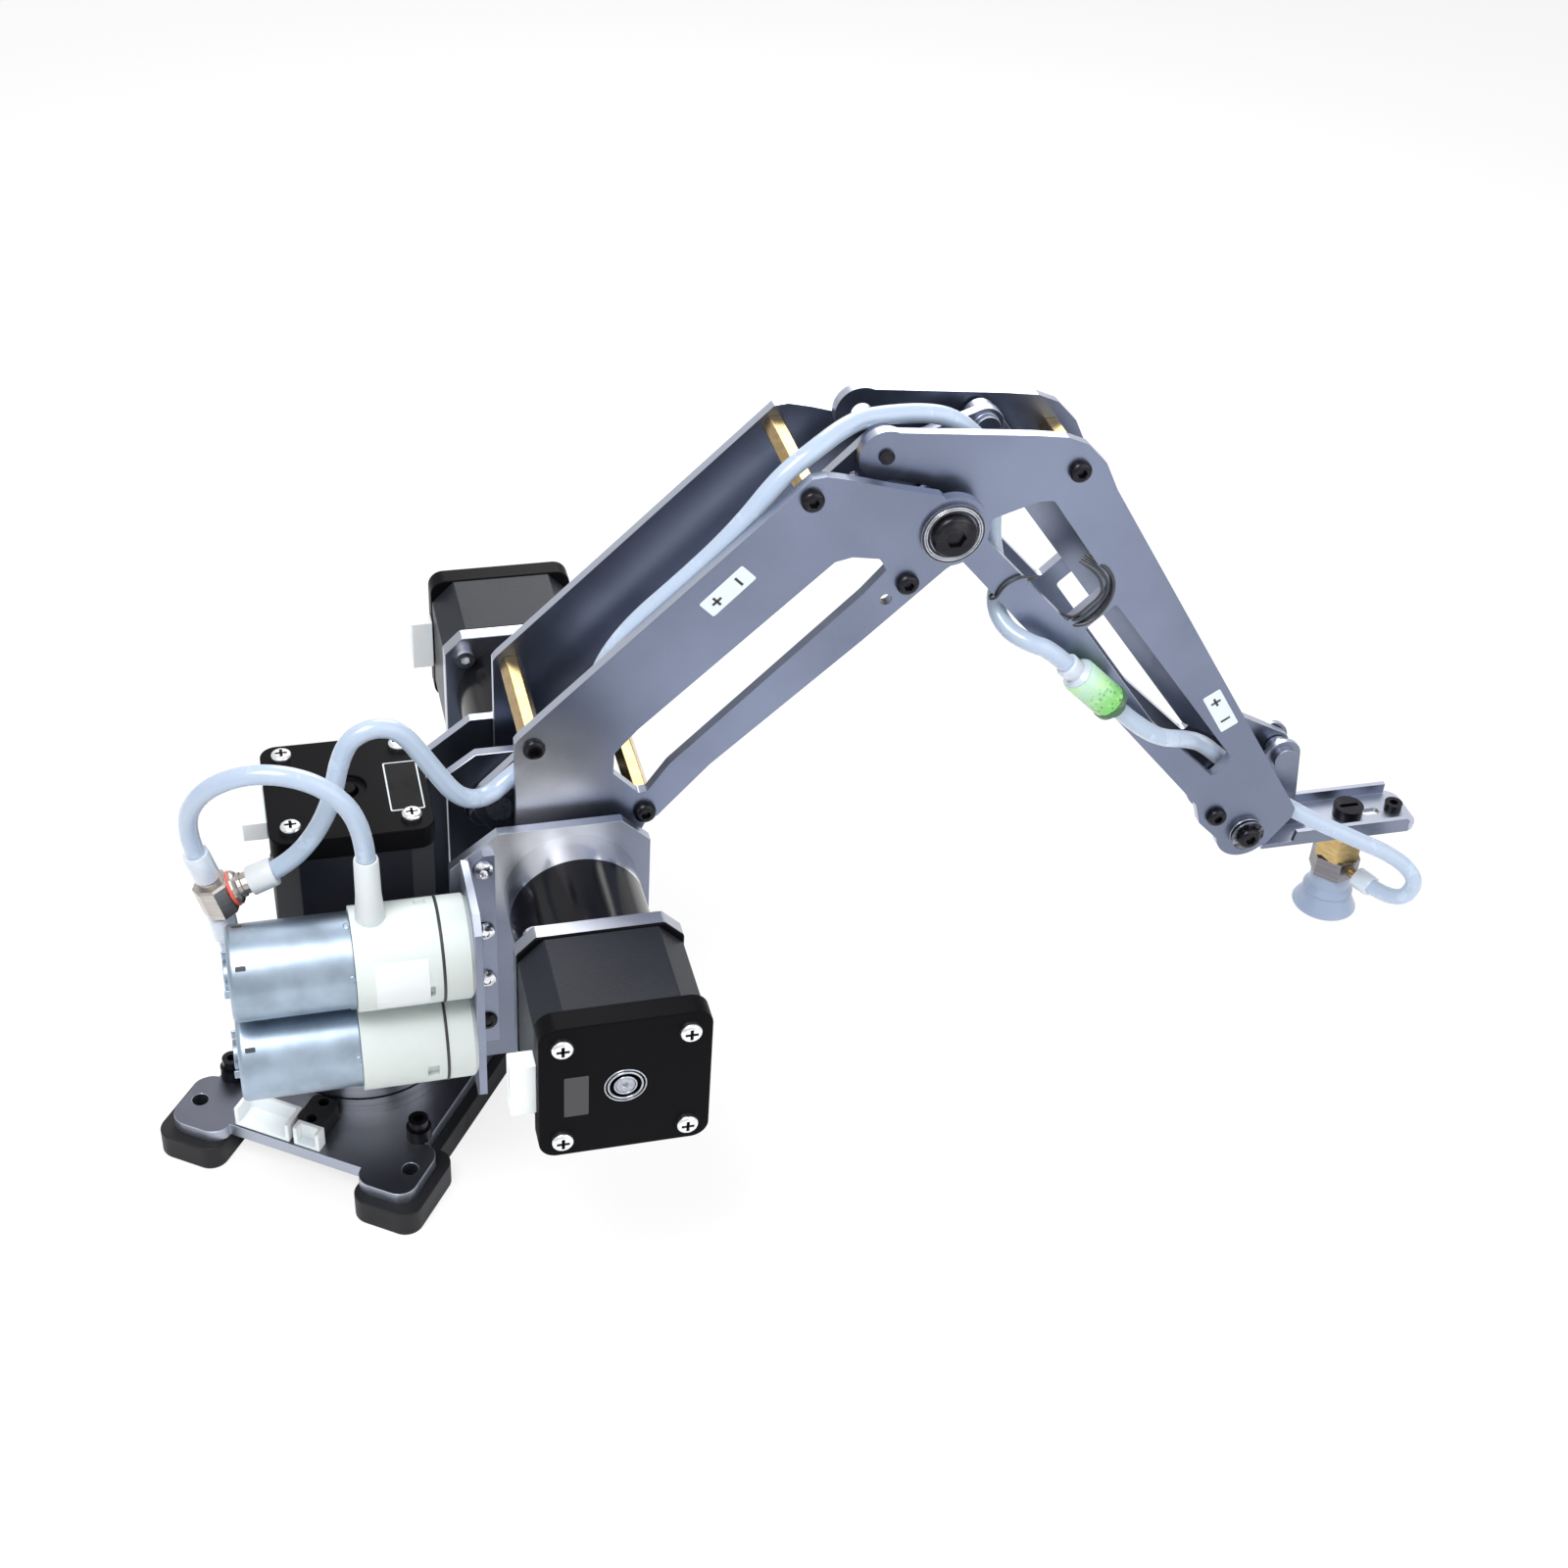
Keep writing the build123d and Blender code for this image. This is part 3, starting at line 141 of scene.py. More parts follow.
def ramp(tree, value, low, high):
    """Smooth step of a value from low to high."""
    return add(
        tree, "ShaderNodeMapRange",
        {"Value": value, "From Min": low, "From Max": high},
        interpolation_type="SMOOTHSTEP",
    ).outputs["Result"]


def mix_colour(tree, share, first, second, blend="MIX"):
    node = add(tree, "ShaderNodeMix", data_type="RGBA", blend_type=blend)
    for number, value in ((0, share), (6, first), (7, second)):
        if isinstance(value, bpy.types.NodeSocket):
            tree.links.new(value, node.inputs[number])
        else:
            node.inputs[number].default_value = value
    return node.outputs[2]


def skin_group():
    """Surface variation: broad clouds, fine grain and streaks stretched along one axis."""
    group, entry, out = shader_group(
        "skin",
        [("Cloud size", "NodeSocketFloat", 30.0), ("Grain size", "NodeSocketFloat", 1500.0),
         ("Streak scale", "NodeSocketVector", (20.0, 20.0, 900.0)),
         ("Turn", "NodeSocketVector", (0.0, 0.0, 0.0))],
        [("Cloud", "NodeSocketFloat"), ("Grain", "NodeSocketFloat"), ("Streak", "NodeSocketFloat"),
         ("Smudge", "NodeSocketFloat")],
    )
    place = add(group, "ShaderNodeTexCoord").outputs["Object"]
    cloud = add(group, "ShaderNodeTexNoise",
                {"Vector": place, "Scale": entry.outputs["Cloud size"], "Detail": 4.0})
    grain = add(group, "ShaderNodeTexNoise",
                {"Vector": place, "Scale": entry.outputs["Grain size"], "Detail": 2.0})
    turned = add(group, "ShaderNodeVectorRotate",
                 {"Vector": place, "Rotation": entry.outputs["Turn"]}, rotation_type="EULER_XYZ")
    stretched = add(group, "ShaderNodeVectorMath",
                    {0: turned.outputs[0], 1: entry.outputs["Streak scale"]}, operation="MULTIPLY")
    streak = add(group, "ShaderNodeTexNoise",
                 {"Vector": stretched.outputs[0], "Scale": 1.0, "Detail": 3.0})
    blot = add(group, "ShaderNodeTexNoise",
               {"Vector": place, "Scale": 90.0, "Detail": 6.0, "Roughness": 0.65})
    smudge = ramp(group, blot.outputs["Fac"], 0.52, 0.72)
    for label, value in (("Cloud", cloud.outputs["Fac"]), ("Grain", grain.outputs["Fac"]),
                         ("Streak", streak.outputs["Fac"]), ("Smudge", smudge)):
        group.links.new(value, out.inputs[label])
    return group


def side_group():
    """Mask that is 1 on faces square to Axis and 0 on cut edges and chamfers."""
    group, entry, out = shader_group(
        "sheet_side", [("Axis", "NodeSocketVector", (0.0, 0.0, 1.0))], [("Face", "NodeSocketFloat")]
    )
    normal = add(group, "ShaderNodeTexCoord").outputs["Normal"]
    along = add(group, "ShaderNodeVectorMath", {0: normal, 1: entry.outputs["Axis"]},
                operation="DOT_PRODUCT").outputs["Value"]
    face = ramp(group, math_node(group, "ABSOLUTE", along), 0.93, 0.99)
    group.links.new(face, out.inputs["Face"])
    return group


def band_group():
    """Mask of a slab: 1 where the distance along Axis from Origin lies between From and To."""
    group, entry, out = shader_group(
        "band",
        [("Origin", "NodeSocketVector", (0.0, 0.0, 0.0)), ("Axis", "NodeSocketVector", (0.0, 0.0, 1.0)),
         ("From", "NodeSocketFloat", 0.0), ("To", "NodeSocketFloat", 1.0)],
        [("Mask", "NodeSocketFloat"), ("Distance", "NodeSocketFloat")],
    )
    place = add(group, "ShaderNodeTexCoord").outputs["Object"]
    away = add(group, "ShaderNodeVectorMath", {0: place, 1: entry.outputs["Origin"]},
               operation="SUBTRACT").outputs[0]
    distance = add(group, "ShaderNodeVectorMath", {0: away, 1: entry.outputs["Axis"]},
                   operation="DOT_PRODUCT").outputs["Value"]
    after = math_node(group, "GREATER_THAN", distance, entry.outputs["From"])
    before = math_node(group, "LESS_THAN", distance, entry.outputs["To"])
    group.links.new(math_node(group, "MULTIPLY", after, before), out.inputs["Mask"])
    group.links.new(distance, out.inputs["Distance"])
    return group


SKIN = skin_group()
SIDE = side_group()
BAND = band_group()


def use_group(tree, group, **values):
    node = tree.nodes.new("ShaderNodeGroup")
    node.node_tree = group
    for key, value in values.items():
        node.inputs[key.replace("_", " ")].default_value = value
    return node


def new_material(name, **sockets):
    """A material with plain values on the Principled sockets."""
    material = bpy.data.materials.new(name)
    material.use_nodes = True
    tree = material.node_tree
    surface = tree.nodes["Principled BSDF"]
    for key, value in sockets.items():
        surface.inputs[key.replace("_", " ")].default_value = value
    return material, tree, surface


def rough_bump(tree, surface, height, strength, distance):
    """Bump from a height, linked to the surface's normal."""
    bump = add(tree, "ShaderNodeBump", {"Height": height, "Strength": strength, "Distance": distance})
    tree.links.new(bump.outputs["Normal"], surface.inputs["Normal"])
    return bump


def rgb(r, g, b):
    return (r, g, b, 1.0)


# Finishes

def plate_material(name, face, edge, axis, roughness=0.3, painted_reflection=None):
    """Satin anodised sheet: grained face, brighter cut edges, faint streaks and handling marks; the
    optional tone function paints reflections onto the face.
    """
    material, tree, surface = new_material(name, Metallic=1.0)
    skin = use_group(tree, SKIN, Cloud_size=14.0, Grain_size=2600.0,
                     Streak_scale=(60.0, 60.0, 1400.0), Turn=(0.6, 0.3, 0.0))
    side = use_group(tree, SIDE, Axis=tuple(axis))
    dark = rgb(*(0.8 * c for c in face))
    light = rgb(*(1.18 * c for c in face))
    tone = mix_colour(tree, ramp(tree, skin.outputs["Cloud"], 0.3, 0.7), dark, light)
    if painted_reflection:
        tone = painted_reflection(tree, tone)
    share = math_node(tree, "MULTIPLY", skin.outputs["Grain"], 0.25)
    tone = mix_colour(tree, share, tone,
                      rgb(*(1.5 * c for c in face)))
    colour = mix_colour(tree, side.outputs["Face"], rgb(*edge), tone)
    tree.links.new(colour, surface.inputs["Base Color"])
    rough = math_node(tree, "MULTIPLY_ADD", skin.outputs["Smudge"], 0.08, roughness)
    rough = math_node(tree, "MULTIPLY_ADD", skin.outputs["Streak"], 0.08, rough)
    tree.links.new(rough, surface.inputs["Roughness"])
    height = math_node(tree, "MULTIPLY_ADD", skin.outputs["Streak"], 0.5, skin.outputs["Grain"])
    rough_bump(tree, surface, height, 0.12, 0.00004)
    return material


def metal_material(name, colour, roughness, streak=(40.0, 40.0, 1500.0), turn=(0.0, 0.0, 0.0),
                   bump=0.15, metallic=1.0, worn=None):
    """Turned or rolled metal with streaks; worn is a second colour in its blots."""
    material, tree, surface = new_material(name, Metallic=metallic)
    skin = use_group(tree, SKIN, Cloud_size=60.0, Grain_size=2200.0, Streak_scale=streak, Turn=turn)
    tone = mix_colour(tree, ramp(tree, skin.outputs["Streak"], 0.3, 0.7),
                      rgb(*(0.82 * c for c in colour)), rgb(*(min(1.0, 1.12 * c) for c in colour)))
    if worn:
        share = math_node(tree, "MULTIPLY", skin.outputs["Smudge"], 0.6)
        tone = mix_colour(tree, share, tone, rgb(*worn))
    tree.links.new(tone, surface.inputs["Base Color"])
    rough = math_node(tree, "MULTIPLY_ADD", skin.outputs["Cloud"], 0.14, roughness - 0.07)
    tree.links.new(rough, surface.inputs["Roughness"])
    rough_bump(tree, surface, skin.outputs["Streak"], bump, 0.00005)
    return material


def plastic_material(name, colour, roughness=0.42, subsurface=0.0, grain=0.1, marks=None, **extra):
    """Moulded plastic or rubber: faint clouding, fine surface grain, optional blots."""
    material, tree, surface = new_material(name, Subsurface_Weight=subsurface, **extra)
    surface.inputs["Subsurface Scale"].default_value = 0.003
    skin = use_group(tree, SKIN, Cloud_size=45.0, Grain_size=3200.0)
    tone = mix_colour(tree, skin.outputs["Cloud"], rgb(*(0.88 * c for c in colour)),
                      rgb(*(min(1.0, 1.06 * c) for c in colour)))
    if marks:
        share = math_node(tree, "MULTIPLY", skin.outputs["Smudge"], 0.35)
        tone = mix_colour(tree, share, tone, rgb(*marks))
    tree.links.new(tone, surface.inputs["Base Color"])
    rough = math_node(tree, "MULTIPLY_ADD", skin.outputs["Smudge"], 0.12, roughness)
    tree.links.new(rough, surface.inputs["Roughness"])
    rough_bump(tree, surface, skin.outputs["Grain"], grain, 0.00006)
    return material


PLATE_FACE = (0.165, 0.19, 0.265)
PLATE_EDGE = (0.40, 0.43, 0.51)


def painted_reflection_at(*reflection_spots):
    """Tone function: painted reflections, each brightening the tone to a colour round an arm frame
    point.
    """
    def painted_reflection(tree, tone):
        place = add(tree, "ShaderNodeTexCoord").outputs["Object"]
        for centre, reach, colour in reflection_spots:
            away = add(tree, "ShaderNodeVectorMath", {0: place, 1: tuple(row(centre))},
                       operation="DISTANCE").outputs["Value"]
            share = ramp(tree, away, reach * MM, 0.0)
            tone = mix_colour(tree, share, tone, rgb(*colour))
        return tone
    return painted_reflection


# Painted reflections: bright patches painted into the face colour near the shoulder on the arm plates,
# behind the pumps on the base plate and on the tower front.
arm_plate = plate_material("arm_plate", PLATE_FACE, PLATE_EDGE, ACROSS,
                           painted_reflection=painted_reflection_at(((-15, ARM_FACE_Y, 31), 32, (0.92, 0.92, 0.96))))
level_plate = plate_material("level_plate", (0.10, 0.105, 0.13), PLATE_EDGE, UP, 0.3,
                             painted_reflection_at(((-57, -21, BASE_TOP_Z), 34, (0.62, 0.61, 0.64))))
tower_sheet = plate_material("tower_sheet", (0.17, 0.19, 0.245), PLATE_EDGE, ACROSS, 0.32,
                             painted_reflection_at(((-12, TOWER_FACE_Y, 19), 30, (0.85, 0.86, 0.90))))
bracket_sheet = plate_material("bracket_sheet", (0.22, 0.245, 0.32), PLATE_EDGE, ACROSS, 0.34)
link_plate = plate_material("link_plate", (0.17, 0.19, 0.25), PLATE_EDGE, ACROSS, 0.3)
bearing_steel = metal_material("bearing_steel", (0.22, 0.23, 0.285), 0.3, (900.0, 900.0, 900.0),
                               bump=0.1)
ring_steel = metal_material("ring_steel", (0.40, 0.42, 0.47), 0.3, bump=0.08)
turned_steel = metal_material("turned_steel", (0.34, 0.36, 0.41), 0.28, (900.0, 900.0, 900.0), bump=0.1)
brass = metal_material("brass", (0.43, 0.31, 0.14), 0.26, (300.0, 300.0, 1200.0), worn=(0.4, 0.27, 0.12))
tee_metal = metal_material("tee_metal", (0.45, 0.42, 0.40), 0.33, bump=0.2, worn=(0.3, 0.28, 0.27))
screw_black = metal_material("screw_black", (0.014, 0.014, 0.018), 0.26, metallic=0.8, bump=0.2,
                             worn=(0.06, 0.06, 0.07))
screw_zinc = metal_material("screw_zinc", (0.70, 0.71, 0.74), 0.2, bump=0.1)
hex_dark = metal_material("hex_dark", (0.17, 0.165, 0.18), 0.3, bump=0.15, worn=(0.3, 0.29, 0.3))
can_zinc = metal_material("can_zinc", (0.31, 0.38, 0.465), 0.4, (90.0, 90.0, 90.0), bump=0.02)
foot_black = plastic_material("foot_black", (0.008, 0.008, 0.01), 0.5, grain=0.3,
                              Specular_IOR_Level=0.25)
head_nylon = plastic_material("head_nylon", (0.60, 0.655, 0.64), 0.42, 0.04, marks=(0.54, 0.61, 0.58))
plug_white = plastic_material("plug_white", (0.83, 0.87, 0.89), 0.4, 0.15, marks=(0.66, 0.7, 0.72))
silicone = plastic_material("silicone", (0.37, 0.455, 0.58), 0.24, 0.2, 0.05, marks=(0.5, 0.6, 0.72),
                            Coat_Weight=0.4, Coat_Roughness=0.15, Sheen_Weight=0.5,
                            Sheen_Roughness=0.3)
cup_silicone = plastic_material("cup_silicone", (0.25, 0.315, 0.44), 0.4, 0.1, 0.1,
                                marks=(0.38, 0.46, 0.56), Sheen_Weight=0.2)
sleeve_clear = plastic_material("sleeve_clear", (0.52, 0.58, 0.66), 0.22, 0.3, 0.05, Coat_Weight=0.6)
sleeve_white = plastic_material("sleeve_white", (0.60, 0.64, 0.66), 0.36, 0.1, 0.08)
ring_red = plastic_material("ring_red", (0.62, 0.08, 0.05), 0.35)
tie_black = plastic_material("tie_black", (0.012, 0.012, 0.014), 0.38, Coat_Weight=0.3)
mark_black = plastic_material("mark_black", (0.02, 0.02, 0.025), 0.5)
sticker_white = plastic_material("sticker_white", (0.62, 0.68, 0.72), 0.5, grain=0.06)


def stator_finishes():
    """Black stator with fine sheet lines square to the motor's axis, level or upright."""
    stator = {}
    for name, axis in (("level", ACROSS), ("upright", UP)):
        material, tree, surface = new_material("stator_" + name, Metallic=0.0, Specular_IOR_Level=0.12)
        skin = use_group(tree, SKIN, Cloud_size=40.0, Grain_size=1800.0)
        place = add(tree, "ShaderNodeTexCoord").outputs["Object"]
        depth = add(tree, "ShaderNodeVectorMath", {0: place, 1: tuple(axis)},
                    operation="DOT_PRODUCT").outputs["Value"]
        sheets = math_node(tree, "SINE", math_node(tree, "MULTIPLY", depth, 2 * math.pi / 0.0007))
        tone = mix_colour(tree, skin.outputs["Cloud"], rgb(0.008, 0.009, 0.013), rgb(0.02, 0.022, 0.03))
        tree.links.new(tone, surface.inputs["Base Color"])
        rough = math_node(tree, "MULTIPLY_ADD", skin.outputs["Grain"], 0.2, 0.28)
        tree.links.new(rough, surface.inputs["Roughness"])
        height = math_node(tree, "MULTIPLY_ADD", skin.outputs["Grain"], 0.6, sheets)
        rough_bump(tree, surface, height, 0.12, 0.00005)
        stator[name] = material
    return stator


stator_black = stator_finishes()


def banded_material(name, origin, axis, start, stop, inside, outside, shine=0.5):
    """Two finishes on one solid: inside and outside give colour, metal and roughness."""
    material, tree, surface = new_material(name, Coat_Weight=0.25 * shine, Coat_Roughness=0.2,
                                           Specular_IOR_Level=0.5 * shine)
    band = use_group(tree, BAND, Origin=tuple(origin), Axis=tuple(axis), From=start * MM, To=stop * MM)
    skin = use_group(tree, SKIN, Cloud_size=50.0, Grain_size=2400.0, Streak_scale=(500.0, 500.0, 500.0))
    share = band.outputs["Mask"]
    colour = mix_colour(tree, share, rgb(*outside[0]), rgb(*inside[0]))
    colour = mix_colour(tree, math_node(tree, "MULTIPLY", skin.outputs["Cloud"], 0.35), colour,
                        rgb(0.0, 0.0, 0.0))
    tree.links.new(colour, surface.inputs["Base Color"])
    for socket, number in (("Metallic", 1), ("Roughness", 2)):
        value = math_node(tree, "MULTIPLY_ADD", share, inside[number] - outside[number], outside[number])
        tree.links.new(value, surface.inputs[socket])
    rings = math_node(tree, "SINE", math_node(tree, "MULTIPLY", band.outputs["Distance"],
                                              2 * math.pi / 0.0004))
    height = math_node(tree, "MULTIPLY_ADD", rings, 0.3, skin.outputs["Grain"])
    rough_bump(tree, surface, height, 0.1, 0.00004)
    return material


BRIGHT = ((0.72, 0.73, 0.76), 1.0, 0.2)
GLOSS_BLACK = ((0.006, 0.006, 0.008), 0.0, 0.16)
COVER_FACE = ((0.004, 0.004, 0.005), 0.0, 0.42)
FLANGE = ((0.44, 0.46, 0.52), 1.0, 0.3)
MOTOR_AXES = {
    "forearm": (row((0, TOWER_FACE_Y, 0)), -ACROSS, "level"),
    "shoulder": (row((0, -TOWER_FACE_Y, 0)), ACROSS, "level"),
    "yaw": (row((YAW_AXIS_X, 0, YAW_NOSE_Z)), UP, "upright"),
}

# Pieces

def finish_mesh(mesh, smooth_angle):
    """Merges doubles, turns normals outward and smooths below an angle."""
    work = bmesh.new()
    work.from_mesh(mesh)
    bmesh.ops.remove_doubles(work, verts=work.verts, dist=1e-6)
    bmesh.ops.recalc_face_normals(work, faces=work.faces)
    work.to_mesh(mesh)
    work.free()
    mesh.polygons.foreach_set("use_smooth", np.ones(len(mesh.polygons), bool))
    mesh.set_sharp_from_angle(angle=math.radians(smooth_angle))


def quads(rows, columns, close_rows, close_columns):
    """Quad indices of a grid of points, closed round either way."""
    r = np.arange(rows if close_rows else rows - 1)
    c = np.arange(columns if close_columns else columns - 1)
    r, c = (a.ravel() for a in np.meshgrid(r, c, indexing="ij"))
    r2, c2 = (r + 1) % rows, (c + 1) % columns
    return np.stack([r * columns + c, r * columns + c2, r2 * columns + c2, r2 * columns + c], -1)


def piece(name, grids, material, body, smooth_angle=40.0):
    """One mesh from grids of points (rows, columns, 3) in metres, riding on a body."""
    corners, faces, count = [], [], 0
    for points, close_rows, close_columns in grids:
        rows, columns = points.shape[:2]
        corners.append(points.reshape(-1, 3))
        faces.append(quads(rows, columns, close_rows, close_columns) + count)
        count += rows * columns
    mesh = bpy.data.meshes.new(name)
    mesh.from_pydata(np.concatenate(corners).tolist(), [], np.concatenate(faces).tolist())
    finish_mesh(mesh, smooth_angle)
    mesh.materials.append(material)
    thing = bpy.data.objects.new(name, mesh)
    scene.collection.objects.link(thing)
    if body:
        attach(thing, body)
    return thing


def turned(profile, base, axis, steps=40):
    """Surface of revolution: each (radius, height) in mm goes round the axis from base."""
    profile = np.asarray(profile, float) * MM
    axis = np.asarray(axis, float)
    side = np.cross(axis, [0.31, 0.52, 0.79])
    side /= np.linalg.norm(side)
    other = np.cross(axis, side)
    angle = np.linspace(0, 2 * np.pi, steps, endpoint=False)
    ring = np.cos(angle)[:, None] * side + np.sin(angle)[:, None] * other
    radius = profile[:, 0][:, None, None]
    points = base + radius * ring[None] + profile[:, 1][:, None, None] * axis
    return points, False, True


def torus(centre, axis, major, minor):
    """Ring: a circle of radius minor carried round a circle of radius major, in mm."""
    turn = np.linspace(0, 2 * np.pi, 12, endpoint=False)
    profile = np.stack([major + minor * np.cos(turn), minor * np.sin(turn)], -1)
    points, _, _ = turned(profile, centre, axis, 48)
    return points, True, True


SHARP_ANGLE = math.radians(38.0)


def cad_copy(node, material, chamfer):
    """A CAD node's solid with its sharp edges broken by a small round chamfer, in mm."""
    source = frame["nodes"][node]
    mesh = source.data.copy()
    mesh.name = node + "_finished"
    work = bmesh.new()
    work.from_mesh(mesh)
    bmesh.ops.remove_doubles(work, verts=work.verts, dist=2e-6)
    bmesh.ops.dissolve_limit(work, angle_limit=math.radians(0.6), verts=work.verts,
                             edges=work.edges)
    work.to_mesh(mesh)
    work.free()
    mesh.materials.clear()
    mesh.materials.append(material)
    if "custom_normal" in mesh.attributes:
        mesh.attributes.remove(mesh.attributes["custom_normal"])
    mesh.polygons.foreach_set("use_smooth", np.ones(len(mesh.polygons), bool))
    mesh.set_sharp_from_angle(angle=SHARP_ANGLE)
    thing = bpy.data.objects.new(node + "_finished", mesh)
    scene.collection.objects.link(thing)
    edge = thing.modifiers.new("edge", "BEVEL")
    edge.width = chamfer * MM
    edge.segments = 2
    edge.limit_method = "ANGLE"
    edge.angle_limit = SHARP_ANGLE
    edge.harden_normals = True
    edge.use_clamp_overlap = True
    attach(thing, source["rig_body"])
    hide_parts(node)
    return thing


def paint(node, material):
    mesh = frame["nodes"][node].data
    mesh.materials.clear()
    mesh.materials.append(material)


def tower_screw_finish():
    """Black heads on the gearbox noses between the motors, bright heads on the rear covers."""
    material, tree, surface = new_material("tower_screw_finish", Metallic=1.0)
    between = use_group(tree, BAND, Origin=tuple(row((0, 0, 0))), Axis=tuple(ACROSS), From=-60.0 * MM,
                        To=60.0 * MM)
    ahead = use_group(tree, BAND, Origin=tuple(row((0, 0, 0))), Axis=tuple(ALONG), From=-34.0 * MM,
                      To=60.0 * MM)
    share = math_node(tree, "MULTIPLY", between.outputs["Mask"], ahead.outputs["Mask"])
    skin = use_group(tree, SKIN, Cloud_size=200.0, Grain_size=2200.0)
    bright = mix_colour(tree, skin.outputs["Smudge"], rgb(0.70, 0.71, 0.74), rgb(0.5, 0.51, 0.54))
    colour = mix_colour(tree, share, bright, rgb(0.022, 0.022, 0.026))
    tree.links.new(colour, surface.inputs["Base Color"])
    tree.links.new(math_node(tree, "MULTIPLY_ADD", skin.outputs["Cloud"], 0.16, 0.16),
                   surface.inputs["Roughness"])
    rough_bump(tree, surface, skin.outputs["Grain"], 0.1, 0.00004)
    return material


# Sheet metal and rods
for node in ("arm_near_plate", "arm_far_plate", "forearm_near_plate", "forearm_far_plate"):
    cad_copy(node, arm_plate, 0.35)
for node in ("tower_front_plate", "tower_rear_plate", "link_anchor_plate"):
    cad_copy(node, tower_sheet, 0.35)
for node in ("tower_floor", "base_plate"):
    cad_copy(node, level_plate, 0.35)
cad_copy("pump_bracket", bracket_sheet, 0.2)
for node in ("drive_crank", "drive_rod", "elbow_triangle", "arm_levelling_rod",
             "forearm_levelling_rod", "tool_bracket"):
    cad_copy(node, link_plate, 0.2)

# Motors
for motor, (origin, axis, pose) in MOTOR_AXES.items():
    gearbox = banded_material(motor + "_gearbox_finish", origin, axis, -1.0, NOSE_LENGTH, BRIGHT,
                              GLOSS_BLACK, 0.25)
    cad_copy(motor + "_gearbox", gearbox, 0.25)
    covers = banded_material(motor + "_cover_finish", origin, axis, FLANGE_START, FLANGE_END,
                             FLANGE, COVER_FACE, 0.06)
    cad_copy(motor + "_motor_covers", covers, 0.4)
    cad_copy(motor + "_motor_stator", stator_black[pose], 0.3)
cad_copy("motor_connectors", plug_white, 0.3)
cad_copy("base_connector", plug_white, 0.3)

# Turned and moulded pieces that keep their CAD mesh
for node, material in (
    ("foot_rail_left", foot_black), ("foot_rail_right", foot_black), ("stop_block", foot_black),
    ("upper_pump_head", head_nylon), ("lower_pump_head", head_nylon),
    ("upper_pump_motor", can_zinc), ("lower_pump_motor", can_zinc), ("cup_nut", hex_dark),
    ("arm_standoffs", brass), ("forearm_standoffs", brass), ("tube_tee", tee_metal),
):
    cad_copy(node, material, 0.5 if material is foot_black else 0.25)
for node, material in (
    ("base_screws", screw_black), ("yaw_hub", ring_steel), ("lower_bearing_ring", ring_steel),
    ("turntable_ring", ring_steel), ("tower_screws", tower_screw_finish()),
    ("shoulder_output_hub", turned_steel),
    ("arm_screws", screw_black), ("arm_bearings", bearing_steel), ("elbow_axle", screw_black),
    ("crank_pin", turned_steel), ("forearm_screws", screw_black), ("forearm_pins", screw_black),
    ("tool_screws", screw_black), ("cup_fitting", brass), ("suction_cup", cup_silicone),
):
    paint(node, material)

# Air line: the spline's points are the route's points
TEE = np.array([-91.0, -25.0, 10.0])
TEE_UP_END = np.array([-94.0, -25.6, 21.5])
TEE_SIDE_END = np.array([-79.5, -25.0, 14.5])
TEE_DOWN_END = np.array([-89.8, -24.8, -3.0])
FILTER_START = np.array([135.5, -19.8, 52.0])
FILTER_END = np.array([152.5, -19.8, 35.5])
CUP_X, CUP_BARB_Z = 246.7, -49.0
BARB_TURN = math.radians(-67.0)
CUP_BARB_TIP = np.array([CUP_X + 13 * math.cos(BARB_TURN), 13 * math.sin(BARB_TURN), CUP_BARB_Z])


def beyond(start, end, distance):
    """The point at a distance past end, on the line from start to end."""
    start, end = np.asarray(start, float), np.asarray(end, float)
    line = end - start
    return tuple(end + line / np.linalg.norm(line) * distance)


